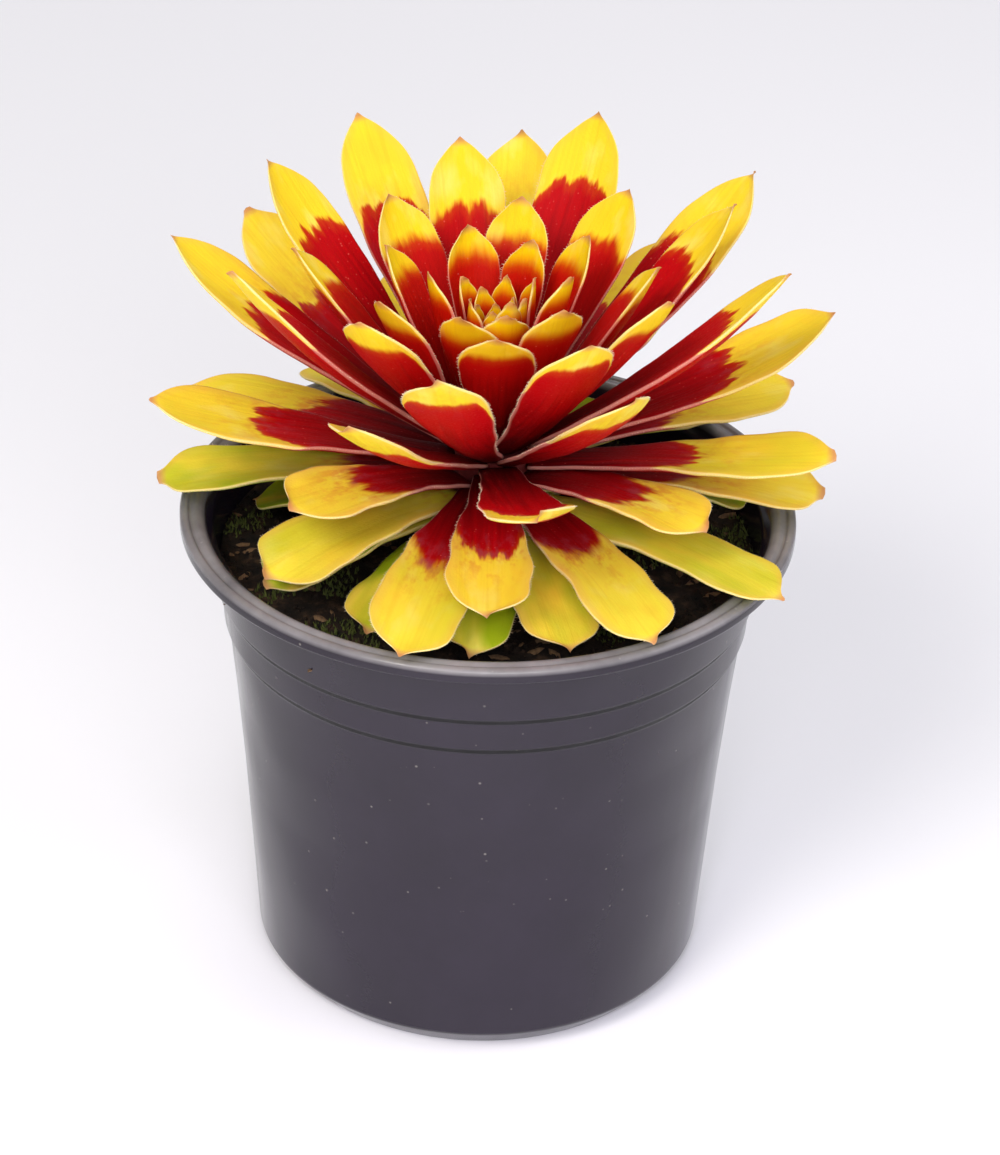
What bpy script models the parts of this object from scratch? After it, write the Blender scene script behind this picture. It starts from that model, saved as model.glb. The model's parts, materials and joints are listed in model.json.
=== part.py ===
"""A houseleek (hens and chicks) growing in a round nursery pot.

One open rosette of thick spoon-shaped leaves, set in a golden-angle spiral on
a short stem. The stem stands in the potting soil, and the soil fills a thin
moulded pot. Each leaf is a solid of its own, and so are the heart bud, the
soil and the pot. The oldest leaves, down on the soil, are one solid with the
stem. Metres, +Z up, the origin under the middle of the pot's foot, and the
front of the plant towards -Y.
"""

import math

import bmesh
import bpy
import numpy as np
from mathutils import Vector

# The pot
POT_HEIGHT = 0.108
RIM_RADIUS = 0.065
RIM_DEPTH = 0.0034
RIM_WIDTH = 0.0048
RIM_CROWN = 0.0015
WALL_THICKNESS = 0.0012
FOOT_RADIUS = 0.0440
FOOT_WIDTH = 0.0035
FOOT_RECESS = 0.0025
BASE_PLATE = 0.0016
HEEL_HEIGHT = 0.0050
INNER_HEEL_RADIUS = 0.0030
# The wall's outside, as (height, radius): two shoulders step it in under the rim
WALL_OUTSIDE = (
    (0.1046, 0.0590),
    (0.0908, 0.0572),
    (0.0896, 0.0563),
    (0.0828, 0.0558),
    (0.0816, 0.0549),
    (0.0660, 0.0532),
    (0.0460, 0.0514),
    (HEEL_HEIGHT, 0.0484),
)
DRAIN_HOLES = 8
DRAIN_HOLE_RADIUS = 0.0036
DRAIN_CIRCLE_RADIUS = 0.0320
DRAIN_CUT_DEPTH = 0.012
POT_SEGMENTS = 56

# The soil
GAP = 0.0003
SOIL_EDGE_Z = 0.0965
SOIL_CROWN_Z = 0.0985
SOIL_CROWN_RADIUS = 0.0200
SOIL_SEGMENTS = 32

# The stem
STEM_FOOT_Z = 0.0860
STEM_FOOT_TAPER = 0.0055
STEM_FOOT_SHARE = 0.6
STEM_RADIUS = 0.0080
STEM_SHOULDER_Z = 0.1240
STEM_TOP_Z = 0.1345
STEM_TOP_RADIUS = 0.0052
STEM_SEGMENTS = 24

# The heart: the youngest leaves, still closed into one bud
HEART_HEIGHT = 0.0265
HEART_RADIUS = 0.0068
HEART_FOLDS = 5
HEART_FOLD_DEPTH = 0.20
HEART_TWIST = 0.9
HEART_STATIONS = (0.0, 0.12, 0.28, 0.46, 0.64, 0.8, 0.92)

# The rosette: leaf 1 is the youngest and highest. The stem's own leaves are the oldest and lowest
LEAVES = 56
STEM_LEAVES = 10
STEM_LEAF_ROOT = 0.0020
GOLDEN_ANGLE = math.radians(137.50776)
FIRST_AZIMUTH = math.radians(282.5)
PLANT_X = 0.0006
PLANT_Y = 0.0012
SEED = 7

# Front leaves that grow a little off the spiral, by their number counted from 0:
# degrees round the stem, and metres out and up at the tip
OFF_SPIRAL = {
    0: (0.0, 0.000, -0.0050),
    5: (0.0, 0.000, -0.0045),
    29: (-13.0, -0.011, -0.003),
    31: (13.0, -0.011, -0.003),
    37: (17.0, 0.001, -0.002),
    39: (24.0, -0.013, -0.009),
    42: (25.0, -0.0145, 0.0055),
    44: (7.0, -0.0135, 0.012),
    45: (9.5, 0.0025, -0.001),
    47: (-8.0, 0.004, -0.003),
    49: (0.0, 0.008, 0.002),
    50: (-17.0, 0.0075, 0.002),
    52: (-12.5, 0.002, 0.005),
    55: (0.0, 0.002, 0.001),
    57: (15.0, 0.001, 0.000),
    58: (-8.5, 0.0175, 0.0055),
    60: (12.0, 0.001, 0.001),
    63: (0.0, 0.000, 0.001),
    65: (22.0, 0.0025, 0.004),
}

# How the leaves change with age. Each pair is a leaf's number, counted from 0, and its value there
AGE_TIP_RADIUS = (
    (0, 0.0120), (5, 0.0195), (10, 0.0305), (15, 0.0420), (20, 0.0540), (24, 0.0620), (30, 0.0695),
    (34, 0.0725), (39, 0.0725), (43, 0.0690), (47, 0.0640), (51, 0.0590), (55, 0.0550), (65, 0.0500),
)
AGE_TIP_Z = (
    (0, 0.1640), (5, 0.1660), (10, 0.1655), (15, 0.1695), (20, 0.1745), (24, 0.1745), (30, 0.1610), (34, 0.1480),
    (38, 0.1300), (41, 0.1190), (43, 0.1150), (47, 0.1120), (51, 0.1080), (55, 0.1040), (65, 0.1000),
)
AGE_BASE_Z = ((0, 0.1332), (7, 0.1304), (24, 0.1248), (42, 0.1174), (55, 0.1114), (65, 0.1065))
AGE_WIDTH = ((0, 0.0100), (5, 0.0125), (13, 0.0155), (22, 0.0172), (42, 0.0182), (55, 0.0176))
AGE_THICKNESS = ((0, 0.0012), (5, 0.0016), (14, 0.0022), (24, 0.0026), (42, 0.0027), (65, 0.0030))
# How far, in degrees, the leaf's line starts and ends off the straight line from its base to its tip
AGE_BASE_BEND = ((0, 8), (5, 4), (14, -3), (24, -6), (34, -4), (41, 12), (55, 14))
AGE_TIP_BEND = ((0, 4), (5, 4), (14, 8), (24, 12), (34, 14), (41, -4), (55, -10))

# How far leaves differ from the laws above, the most at full size: degrees, shares and metres
LOOSE_AZIMUTH = 2.5
LOOSE_ROLL = 3.0
LOOSE_WIDTH = 0.05
LOOSE_REACH = 0.03
LOOSE_RISE = 0.002
YOUNG_FREEDOM = 0.3

# One leaf's outline: the share of its length, and its half width there as a share of the widest
OUTLINE = (
    (0.0, 0.46), (0.22, 0.56), (0.45, 0.78), (0.66, 0.97),
    (0.76, 1.0), (0.86, 0.90), (0.93, 0.62), (0.972, 0.22),
)
STATIONS = (0.0, 0.2, 0.42, 0.62, 0.78, 0.9, 0.965)
ACROSS = (-1.0, -0.62, 0.0, 0.62, 1.0)
BASE_THICKNESS_SHARE = 0.7
TIP_TAPER_FROM = 0.7
TIP_THICKNESS_SHARE = 0.3
MARGIN_THICKNESS = 0.0004
BELLY_SHARE = 0.62
CHANNEL = 0.0011
MIDLINE_STEPS = 48


def smooth(value):
    """0 below 0, 1 above 1, and an even S between them."""
    value = np.clip(value, 0.0, 1.0)
    return value * value * (3.0 - 2.0 * value)


def at(table, place):
    """The value at a place in a table of (place, value) pairs, on straight lines between them."""
    places, values = zip(*table)
    return float(np.interp(place, places, values))


def on_circle(radius, turn, height):
    return radius * math.cos(turn), radius * math.sin(turn), height


def material(name, colour, roughness):
    made = bpy.data.materials.new(name)
    made.use_nodes = True
    shader = made.node_tree.nodes["Principled BSDF"]
    shader.inputs["Base Color"].default_value = (*colour, 1.0)
    shader.inputs["Roughness"].default_value = roughness
    shader.inputs["Metallic"].default_value = 0.0
    made.diffuse_color = (*colour, 1.0)
    return made


def object_from(shape, name, finish, parent=None):
    """A named object from a bmesh, which is freed."""
    mesh = bpy.data.meshes.new(name)
    shape.to_mesh(mesh)
    shape.free()
    mesh.materials.append(finish)
    made = bpy.data.objects.new(name, mesh)
    made.parent = parent
    bpy.context.scene.collection.objects.link(made)
    return made


def turned(profile, segments):
    """The solid that a closed outline of (radius, height) sweeps round the Z axis."""
    shape = bmesh.new()
    points = [shape.verts.new((radius, 0.0, height)) for radius, height in profile]
    loop = [shape.edges.new((a, b)) for a, b in zip(points, points[1:] + points[:1])]
    on_axis = [edge for edge in loop if all(abs(v.co.x) < 1e-9 for v in edge.verts)]
    bmesh.ops.delete(shape, geom=on_axis, context="EDGES")
    bmesh.ops.spin(
        shape,
        geom=shape.verts[:] + shape.edges[:],
        cent=(0.0, 0.0, 0.0),
        axis=(0.0, 0.0, 1.0),
        angle=2.0 * math.pi,
        steps=segments,
        use_merge=True,
    )
    bmesh.ops.remove_doubles(shape, verts=shape.verts[:], dist=1e-6)
    bmesh.ops.recalc_face_normals(shape, faces=shape.faces[:])
    return shape


def close_skin(shape, rings, tip):
    """Faces from ring to ring, up to the one point at the tip, and over the first ring."""
    for ring, after in zip(rings, rings[1:]):
        for index, point in enumerate(ring):
            following = (index + 1) % len(ring)
            shape.faces.new((point, ring[following], after[following], after[index]))
    last = rings[-1]
    for index, point in enumerate(last):
        shape.faces.new((point, last[(index + 1) % len(last)], tip))
    shape.faces.new(list(reversed(rings[0])))
    bmesh.ops.recalc_face_normals(shape, faces=shape.faces[:])


def combine(target, other, operation):
    """Cuts the other object out of the target, or joins it on, and hides it."""
    other.hide_render = True
    other.display_type = "WIRE"
    step = target.modifiers.new(f"{operation} {other.name}", "BOOLEAN")
    step.operation = operation
    step.object = other


def shade_round(made, sharp_angle=35.0):
    made.data.shade_smooth()
    made.data.set_sharp_from_angle(angle=math.radians(sharp_angle))


def outer_radius(height):
    """The pot's outer radius at a height, without the rim and the heel."""
    return at([(z, radius) for z, radius in reversed(WALL_OUTSIDE)], height)


def inner_radius(height):
    return outer_radius(height) - WALL_THICKNESS


def arc(centre_r, centre_z, radius_r, radius_z, start, end, steps):
    """Points on an upright ellipse in the (radius, height) plane, angles in degrees."""
    turns = np.radians(np.linspace(start, end, steps))
    return [(centre_r + radius_r * math.cos(a), centre_z + radius_z * math.sin(a)) for a in turns]


def inner_floor(inset):
    """From the wall round the inner heel to the middle of the base plate, moved inwards by the inset."""
    floor_z = FOOT_RECESS + BASE_PLATE + inset
    bend = INNER_HEEL_RADIUS
    edge = inner_radius(floor_z + bend) - inset
    return [*arc(edge - bend, floor_z + bend, bend, bend, 0, -90, 4), (0.0, floor_z)]


def pot_profile():
    """Round the pot's section: over the rim, down the inside, and back up the outside."""
    half = RIM_WIDTH / 2
    walls = WALL_OUTSIDE[:-1]
    rim = [(RIM_RADIUS, POT_HEIGHT - RIM_DEPTH)]
    rim += arc(RIM_RADIUS - half, POT_HEIGHT - RIM_CROWN, half, RIM_CROWN, 0, 180, 7)
    inside = [(radius - WALL_THICKNESS, height) for height, radius in walls]
    inside += inner_floor(0.0)
    foot = [(0.0, FOOT_RECESS), (FOOT_RADIUS - FOOT_WIDTH - FOOT_RECESS, FOOT_RECESS)]
    foot += [(FOOT_RADIUS - FOOT_WIDTH, 0.0)]
    heel_width = outer_radius(HEEL_HEIGHT) - FOOT_RADIUS
    heel = arc(FOOT_RADIUS, HEEL_HEIGHT, heel_width, HEEL_HEIGHT, -90, 0, 5)
    outside = [(radius, height) for height, radius in reversed(walls)]
    return rim + inside + foot + heel + outside


def build_pot(finish):
    """The pot, with a ring of drainage holes through its base plate."""
    pot = object_from(turned(pot_profile(), POT_SEGMENTS), "pot", finish)
    radius = DRAIN_HOLE_RADIUS
    for index in range(DRAIN_HOLES):
        turn = 2.0 * math.pi * (index + 0.5) / DRAIN_HOLES
        shape = bmesh.new()
        bmesh.ops.create_cone(
            shape, cap_ends=True, segments=12, radius1=radius, radius2=radius, depth=DRAIN_CUT_DEPTH
        )
        cutter = object_from(shape, f"drain_cutter_{index + 1}", finish)
        cutter.location = on_circle(DRAIN_CIRCLE_RADIUS, turn, FOOT_RECESS)
        combine(pot, cutter, "DIFFERENCE")
    shade_round(pot)


def build_soil(finish):
    """The soil, domed a little in the middle, with a socket for the stem."""
    middle_z = (SOIL_CROWN_Z + SOIL_EDGE_Z) / 2
    crown = [(0.0, SOIL_CROWN_Z), (SOIL_CROWN_RADIUS, SOIL_CROWN_Z - GAP), (2 * SOIL_CROWN_RADIUS, middle_z)]
    wall = [(inner_radius(SOIL_EDGE_Z) - GAP, SOIL_EDGE_Z)]
    wall += [(inner_radius(height) - GAP, height) for height, radius in WALL_OUTSIDE[1:-1]]
    soil = object_from(turned(crown + wall + inner_floor(GAP), SOIL_SEGMENTS), "soil", finish)
    mouth_z = SOIL_CROWN_Z + 0.010
    socket = [(0.0, mouth_z), (STEM_RADIUS + GAP, mouth_z), *stem_foot(GAP)]
    cutter = object_from(turned(socket, STEM_SEGMENTS), "socket_cutter", finish)
    cutter.location = (PLANT_X, PLANT_Y, 0.0)
    combine(soil, cutter, "DIFFERENCE")
    shade_round(soil)


def stem_radius(height):
    """The stem is straight up to its shoulder, and then a dome that carries the young leaves."""
    if height <= STEM_SHOULDER_Z:
        return STEM_RADIUS
    share = min(1.0, (height - STEM_SHOULDER_Z) / (STEM_TOP_Z - STEM_SHOULDER_Z))
    return STEM_TOP_RADIUS + (STEM_RADIUS - STEM_TOP_RADIUS) * math.sqrt(1.0 - share * share)


def stem_foot(grown):
    """The tapered lower end of the stem, grown outwards by a gap where the soil is cut to take it."""
    edge = STEM_RADIUS + grown
    foot_z = STEM_FOOT_Z - grown
    return [(edge, STEM_FOOT_Z + STEM_FOOT_TAPER), (edge * STEM_FOOT_SHARE, foot_z), (0.0, foot_z)]


def build_stem(finish, parent, joined):
    """The stem, with the old leaves that are one solid with it."""
    profile = [(0.0, STEM_TOP_Z)]
    profile += [(stem_radius(z), z) for z in np.linspace(STEM_TOP_Z, STEM_SHOULDER_Z, 8)]
    profile += stem_foot(0.0)
    stem = object_from(turned(profile, STEM_SEGMENTS), "stem", finish, parent)
    for leaf in joined:
        combine(stem, leaf, "UNION")
    shade_round(stem)


def heart_swell(share):
    """The bud's radius at a share of its height: it swells to the middle and closes to a point."""
    belly = 0.74 + 0.26 * math.sin(math.pi * min(share / 0.56, 0.5))
    return HEART_RADIUS * belly * (1.0 - share**3) ** 0.8


def build_heart(finish, parent):
    """The closed bud in the middle, with twisted folds where its leaves meet."""
    base_z = STEM_TOP_Z + GAP
    sides = HEART_FOLDS * 4
    shape = bmesh.new()
    rings = []
    for share in HEART_STATIONS:
        ring = []
        for index in range(sides):
            turn = 2.0 * math.pi * index / sides
            fold = HEART_FOLD_DEPTH * share * (1.0 - math.cos(HEART_FOLDS * turn)) / 2
            radius = heart_swell(share) * (1.0 - fold)
            turn += share * HEART_TWIST
            ring.append(shape.verts.new(on_circle(radius, turn, base_z + HEART_HEIGHT * share)))
        rings.append(ring)
    close_skin(shape, rings, shape.verts.new((0.0, 0.0, base_z + HEART_HEIGHT)))
    heart = object_from(shape, "heart", finish, parent)
    shade_round(heart, 60.0)


def midline(out, up, base_bend, tip_bend):
    """A leaf's line, one cubic curve from base to tip: shares walked, distances out, heights and slopes."""
    rise = math.atan2(up, out)
    third = math.hypot(out, up) / 3.0
    start = rise + math.radians(base_bend)
    end = rise + math.radians(tip_bend)
    controls = np.array([
        (0.0, 0.0),
        (third * math.cos(start), third * math.sin(start)),
        (out - third * math.cos(end), up - third * math.sin(end)),
        (out, up),
    ])
    t = np.linspace(0.0, 1.0, MIDLINE_STEPS + 1)[:, None]
    weights = np.hstack([(1 - t) ** 3, 3 * t * (1 - t) ** 2, 3 * t * t * (1 - t), t**3])
    points = weights @ controls
    slopes = np.arctan2(np.gradient(points[:, 1]), np.gradient(points[:, 0]))
    walked = np.concatenate([[0.0], np.cumsum(np.hypot(*np.diff(points, axis=0).T))])
    return walked / walked[-1], points[:, 0], points[:, 1], slopes


class Leaf:
    """The sizes and the place of one leaf, from its number in the spiral."""

    def __init__(self, number, chance):
        freedom = YOUNG_FREEDOM + (1.0 - YOUNG_FREEDOM) * min(1.0, number / LEAVES)
        off_azimuth, off_out, off_up = OFF_SPIRAL.get(number, (0.0, 0.0, 0.0))
        self.azimuth = FIRST_AZIMUTH + GOLDEN_ANGLE * number
        self.azimuth += math.radians(off_azimuth + chance.uniform(-LOOSE_AZIMUTH, LOOSE_AZIMUTH) * freedom)
        self.width = at(AGE_WIDTH, number) * (1.0 + chance.uniform(-LOOSE_WIDTH, LOOSE_WIDTH))
        self.thickness = at(AGE_THICKNESS, number)
        self.roll = math.radians(chance.uniform(-LOOSE_ROLL, LOOSE_ROLL)) * freedom
        self.base_z = at(AGE_BASE_Z, number)
        out = at(AGE_TIP_RADIUS, number) * (1.0 + chance.uniform(-LOOSE_REACH, LOOSE_REACH) * freedom) + off_out
        tip_z = at(AGE_TIP_Z, number) + chance.uniform(-LOOSE_RISE, LOOSE_RISE) * freedom + off_up
        up = tip_z - self.base_z
        self.base_r = stem_radius(self.base_z) + math.sin(math.atan2(up, out)) * self.thickness / 2
        self.base_r += GAP if number < LEAVES else -STEM_LEAF_ROOT
        self.line = midline(out - self.base_r, up, at(AGE_BASE_BEND, number), at(AGE_TIP_BEND, number))

    def body(self, share):
        """The leaf's thickness on its middle line."""
        thickness = self.thickness * (
            BASE_THICKNESS_SHARE + (1.0 - BASE_THICKNESS_SHARE) * math.sin(math.pi * min(1.0, share * 1.25))
        )
        taper = smooth((share - TIP_TAPER_FROM) / (1.0 - TIP_TAPER_FROM))
        return thickness * (1.0 - (1.0 - TIP_THICKNESS_SHARE) * taper)

    def point(self, share, across, face):
        """A point of the skin. across runs from -1 to 1, and face is 1 above, -1 below and 0 between them."""
        walked, outs, ups, slopes = self.line
        x = np.interp(share, walked, outs)
        z = np.interp(share, walked, ups)
        slope = np.interp(share, walked, slopes)
        fullness = np.interp(share, *zip(*OUTLINE), right=0.0)
        y = self.width / 2 * fullness * across
        skin = MARGIN_THICKNESS + (self.body(share) - MARGIN_THICKNESS) * math.sqrt(1.0 - across * across)
        skin *= -BELLY_SHARE if face < 0 else face * (1.0 - BELLY_SHARE)
        wrapped = math.sin(slope) * y * y / (2.0 * (self.base_r + x))
        channel = CHANNEL * smooth(share / 0.5) * fullness * across * across
        height = skin + wrapped + channel
        return Vector((x - math.sin(slope) * height, y, z + math.cos(slope) * height))


def leaf_shape(leaf):
    """A closed skin: a ring of points at each station, one point for the tip and a flat cut at the base."""
    shape = bmesh.new()
    rings = []
    for share in STATIONS:
        above = [leaf.point(share, across, 1) for across in ACROSS[1:-1]]
        below = [leaf.point(share, across, -1) for across in reversed(ACROSS[1:-1])]
        ring = [leaf.point(share, -1.0, 0), *above, leaf.point(share, 1.0, 0), *below]
        rings.append([shape.verts.new(point) for point in ring])
    close_skin(shape, rings, shape.verts.new(leaf.point(1.0, 0.0, 0)))
    return shape


def build_leaves(finish, parent):
    """Every leaf of the rosette, the youngest first."""
    chance = np.random.default_rng(SEED)
    made = []
    for number in range(LEAVES + STEM_LEAVES):
        leaf = Leaf(number, chance)
        name = f"leaf_{number + 1:02d}" if number < LEAVES else f"stem_leaf_{number - LEAVES + 1:02d}"
        piece = object_from(leaf_shape(leaf), name, finish, parent)
        piece.location = on_circle(leaf.base_r, leaf.azimuth, leaf.base_z)
        piece.rotation_euler = (leaf.roll, 0.0, leaf.azimuth)
        shade_round(piece, 60.0)
        made.append(piece)
    return made


def main():
    for old in list(bpy.data.objects):
        bpy.data.objects.remove(old)
    plastic = material("pot plastic", (0.030, 0.028, 0.034), 0.38)
    peat = material("potting soil", (0.045, 0.028, 0.016), 0.95)
    stalk = material("stem bark", (0.18, 0.13, 0.06), 0.75)
    young = material("heart leaves", (0.72, 0.42, 0.02), 0.40)
    flesh = material("leaf flesh", (0.55, 0.05, 0.02), 0.38)
    rosette = bpy.data.objects.new("rosette", None)
    rosette.location = (PLANT_X, PLANT_Y, 0.0)
    bpy.context.scene.collection.objects.link(rosette)
    build_pot(plastic)
    build_soil(peat)
    leaves = build_leaves(flesh, rosette)
    build_stem(stalk, rosette, leaves[LEAVES:])
    build_heart(young, rosette)


main()
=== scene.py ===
# %% [markdown]
# # Hens and chicks in a nursery pot
# A houseleek is a rosette: thick leaves set one after another round a short stem, each turned from the last by
# the golden angle. This lesson dresses the finished CAD model of one in its pot. The CAD gives every piece its
# place and size, and each piece here is a finer copy of a CAD piece, made by the same rule and with more detail.
# The CAD pieces stay in the file as the frame that everything rides on.

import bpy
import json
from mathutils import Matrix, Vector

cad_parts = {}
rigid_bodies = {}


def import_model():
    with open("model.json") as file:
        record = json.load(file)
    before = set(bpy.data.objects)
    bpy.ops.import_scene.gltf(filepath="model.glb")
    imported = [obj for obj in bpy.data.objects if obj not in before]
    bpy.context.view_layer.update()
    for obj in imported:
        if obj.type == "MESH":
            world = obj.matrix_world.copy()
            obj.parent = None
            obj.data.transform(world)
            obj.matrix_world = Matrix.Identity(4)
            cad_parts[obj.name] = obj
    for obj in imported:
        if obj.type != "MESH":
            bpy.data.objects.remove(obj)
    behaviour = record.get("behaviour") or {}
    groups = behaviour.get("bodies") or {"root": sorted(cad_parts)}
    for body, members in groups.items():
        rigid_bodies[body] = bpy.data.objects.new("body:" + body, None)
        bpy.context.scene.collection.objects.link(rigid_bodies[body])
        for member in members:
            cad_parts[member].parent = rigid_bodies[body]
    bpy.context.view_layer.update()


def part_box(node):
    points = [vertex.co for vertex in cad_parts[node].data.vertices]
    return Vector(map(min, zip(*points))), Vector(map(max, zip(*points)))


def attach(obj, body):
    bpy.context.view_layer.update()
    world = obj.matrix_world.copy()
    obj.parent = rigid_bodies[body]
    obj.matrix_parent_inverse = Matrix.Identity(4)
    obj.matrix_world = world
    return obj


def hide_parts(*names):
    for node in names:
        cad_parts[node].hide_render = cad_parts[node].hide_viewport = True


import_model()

# %% [markdown]
# ## Helpers
# Blender's colours are linear light, but a colour given here is written as an sRGB hex value, so one function
# turns it. One more adds a node to any tree, sets its plain values and joins its links. Both kinds of tree,
# materials and Geometry Nodes, use it. In the trees below, a socket that has no name of its own is called by its
# number: on a Map Range, 0 is the value, 1 and 2 are where it starts and ends, and 3 and 4 are what it becomes; on
# a Mix of colours, 0 is the share and 6 and 7 are the two colours.

# %% Colours and nodes
import json
import math

import bmesh
import bpy
import numpy as np
from mathutils import Matrix, Quaternion, Vector, noise


def colour(hex_code):
    """A linear RGBA colour from an sRGB hex value such as #c0ffee."""
    parts = [int(hex_code[place:place + 2], 16) / 255 for place in (1, 3, 5)]
    return (*[p / 12.92 if p <= 0.04045 else ((p + 0.055) / 1.055) ** 2.4 for p in parts], 1.0)


def add(tree, kind, inputs=None, **settings):
    """Adds a node. inputs maps a socket's name or number to a value, or to an output that is joined to it."""
    node = tree.nodes.new(kind)
    for name, value in settings.items():
        setattr(node, name, value)
    for key, value in (inputs or {}).items():
        socket = node.inputs[key]
        if isinstance(value, bpy.types.NodeSocket):
            tree.links.new(value, socket)
        else:
            socket.default_value = value
    return node


# %% [markdown]
# Three more helpers come up in every part of the lesson. One starts a material with an empty tree, one puts an
# object in the scene, and one makes an object from lists of points and faces.

# %% Materials and objects
def start_material(name):
    made = bpy.data.materials.new(name)
    made.use_nodes = True
    tree = made.node_tree
    tree.nodes.clear()
    print("material:", name)
    return made, tree


def link(obj):
    bpy.context.scene.collection.objects.link(obj)
    return obj


def object_from(name, points, faces, material):
    mesh = bpy.data.meshes.new(name)
    mesh.from_pydata([tuple(p) for p in points], [], [tuple(int(i) for i in face) for face in faces])
    mesh.update()
    mesh.materials.append(material)
    return link(bpy.data.objects.new(name, mesh))


# %% [markdown]
# A Geometry Nodes tree is a recipe. The next helper puts a recipe on an object, sets its inputs by each socket's
# identifier, and then keeps only the finished mesh, so that nothing live is left.

# %% Run a Geometry Nodes tree and keep its mesh
def start_recipe(name, inputs):
    """A geometry tree with named inputs, given as name: (socket type, value). Returns it with its input node."""
    tree = bpy.data.node_groups.new(name, "GeometryNodeTree")
    tree.interface.new_socket("Geometry", in_out="INPUT", socket_type="NodeSocketGeometry")
    tree.interface.new_socket("Geometry", in_out="OUTPUT", socket_type="NodeSocketGeometry")
    for label, (kind, value) in inputs.items():
        socket = tree.interface.new_socket(label, in_out="INPUT", socket_type=kind)
        if value is not None:
            socket.default_value = value
    print("recipe:", name, "with the inputs", ", ".join(inputs))
    return tree, add(tree, "NodeGroupInput").outputs


def finish_recipe(tree, geometry, material):
    """Ends a tree with real geometry and one material on all of it."""
    real = add(tree, "GeometryNodeRealizeInstances", {"Geometry": geometry}).outputs["Geometry"]
    return painted_output(tree, real, material)


def painted_output(tree, geometry, material):
    painted = add(tree, "GeometryNodeSetMaterial", {"Geometry": geometry, "Material": material})
    return add(tree, "NodeGroupOutput", {"Geometry": painted.outputs["Geometry"]})


def cooked(name, base_mesh, tree, values):
    """The plain mesh that a recipe makes from a base mesh, as a new object."""
    holder = link(bpy.data.objects.new(name + "_recipe", base_mesh))
    step = holder.modifiers.new("recipe", "NODES")
    step.node_group = tree
    for item in tree.interface.items_tree:
        if item.item_type == "SOCKET" and item.in_out == "INPUT" and item.name in values:
            step[item.identifier] = values[item.name]
    graph = bpy.context.evaluated_depsgraph_get()
    mesh = bpy.data.meshes.new_from_object(
        holder.evaluated_get(graph), preserve_all_data_layers=True, depsgraph=graph)
    bpy.data.objects.remove(holder)
    mesh.name = name
    print(name, len(mesh.polygons), "faces")
    return link(bpy.data.objects.new(name, mesh))


# %% [markdown]
# ## Camera
# The camera stands where the photographer stood: a little under a metre away, looking down at about 31 degrees.
# A long lens fills the frame with the one plant. The numbers come from fitting a pinhole camera to the pot's rim,
# which is a circle of known size, and the roll is the slight tilt at which the photo was taken.

# %% Camera
CAMERA_PLACE = Vector((0.0, -0.8065, 0.5830))
CAMERA_AIM = Vector((0.0029, 0.0, 0.0901))
CAMERA_ROLL = math.radians(1.685)
CAMERA_LENS = 138.3

camera = link(bpy.data.objects.new("camera", bpy.data.cameras.new("camera")))
camera.data.lens = CAMERA_LENS
camera.location = CAMERA_PLACE
camera.rotation_mode = "QUATERNION"
look = (CAMERA_AIM - CAMERA_PLACE).to_track_quat("-Z", "Y")
camera.rotation_quaternion = look @ Quaternion((0.0, 0.0, 1.0), CAMERA_ROLL)
bpy.context.scene.camera = camera
print("camera", round((CAMERA_AIM - CAMERA_PLACE).length, 3), "m from the plant")

# %% [markdown]
# ## Floor and light
# The light is that of a photo studio: a big soft lamp high on the left, one in front, a weak one on the right and
# one high behind. An area lamp is soft because it is wide, and these are 60 to 80 cm across. A houseleek leaf is
# waxy, so a lamp that stands where its flat top mirrors it would turn the red grey. That is why the lamp behind
# is so high.

# %% Soft lamps
def soft_lamp(name, place, aim, size, power, tint):
    lamp = bpy.data.lights.new(name, "AREA")
    lamp.shape = "DISK"
    lamp.size = size
    lamp.energy = power
    lamp.color = colour(tint)[:3]
    made = link(bpy.data.objects.new(name, lamp))
    made.location = place
    made.visible_camera = False
    made.rotation_euler = (Vector(aim) - Vector(place)).to_track_quat("-Z", "Y").to_euler()
    print(name, power, "W from", round((Vector(aim) - Vector(place)).length, 2), "m")


soft_lamp("key_light", (-0.50, -0.80, 1.05), (0.0, 0.0, 0.12), 0.60, 9.5, "#fffaf2")
soft_lamp("front_light", (0.25, -1.15, 0.70), (0.0, 0.0, 0.12), 0.70, 7.0, "#ffffff")
soft_lamp("fill_light", (0.95, -0.10, 0.75), (0.0, 0.0, 0.10), 0.70, 2.8, "#f3f2ff")
soft_lamp("back_light", (0.05, 0.70, 1.45), (0.0, 0.10, 0.05), 0.80, 4.2, "#ffffff")

# %% [markdown]
# The camera looks down, so the pot's upright wall mirrors nothing but the floor. A lighter pool on the floor in
# front of the pot gives the wall the soft bright front that black plastic has. A spot lamp with a fully soft edge
# throws it, and its scale makes the pool wider than deep.

# %% A pool of light on the floor
POOL_PLACE = Vector((-0.02, -0.50, 0.38))
POOL_AIM = Vector((0.0, -0.17, 0.0))
POOL_STRETCH = (1.6, 1.0, 1.0)
POOL_POWER = 9.0
POOL_ANGLE = math.radians(37)

pool = bpy.data.lights.new("floor_pool", "SPOT")
pool.energy = POOL_POWER
pool.color = colour("#f4efff")[:3]
pool.shadow_soft_size = 0.05
pool.spot_size = POOL_ANGLE
pool.spot_blend = 1.0
pool_lamp = link(bpy.data.objects.new("floor_pool", pool))
pool_lamp.location = POOL_PLACE
pool_lamp.scale = POOL_STRETCH
pool_lamp.rotation_euler = (POOL_AIM - POOL_PLACE).to_track_quat("-Z", "Y").to_euler()
print("pool of light", POOL_POWER, "W")

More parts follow.
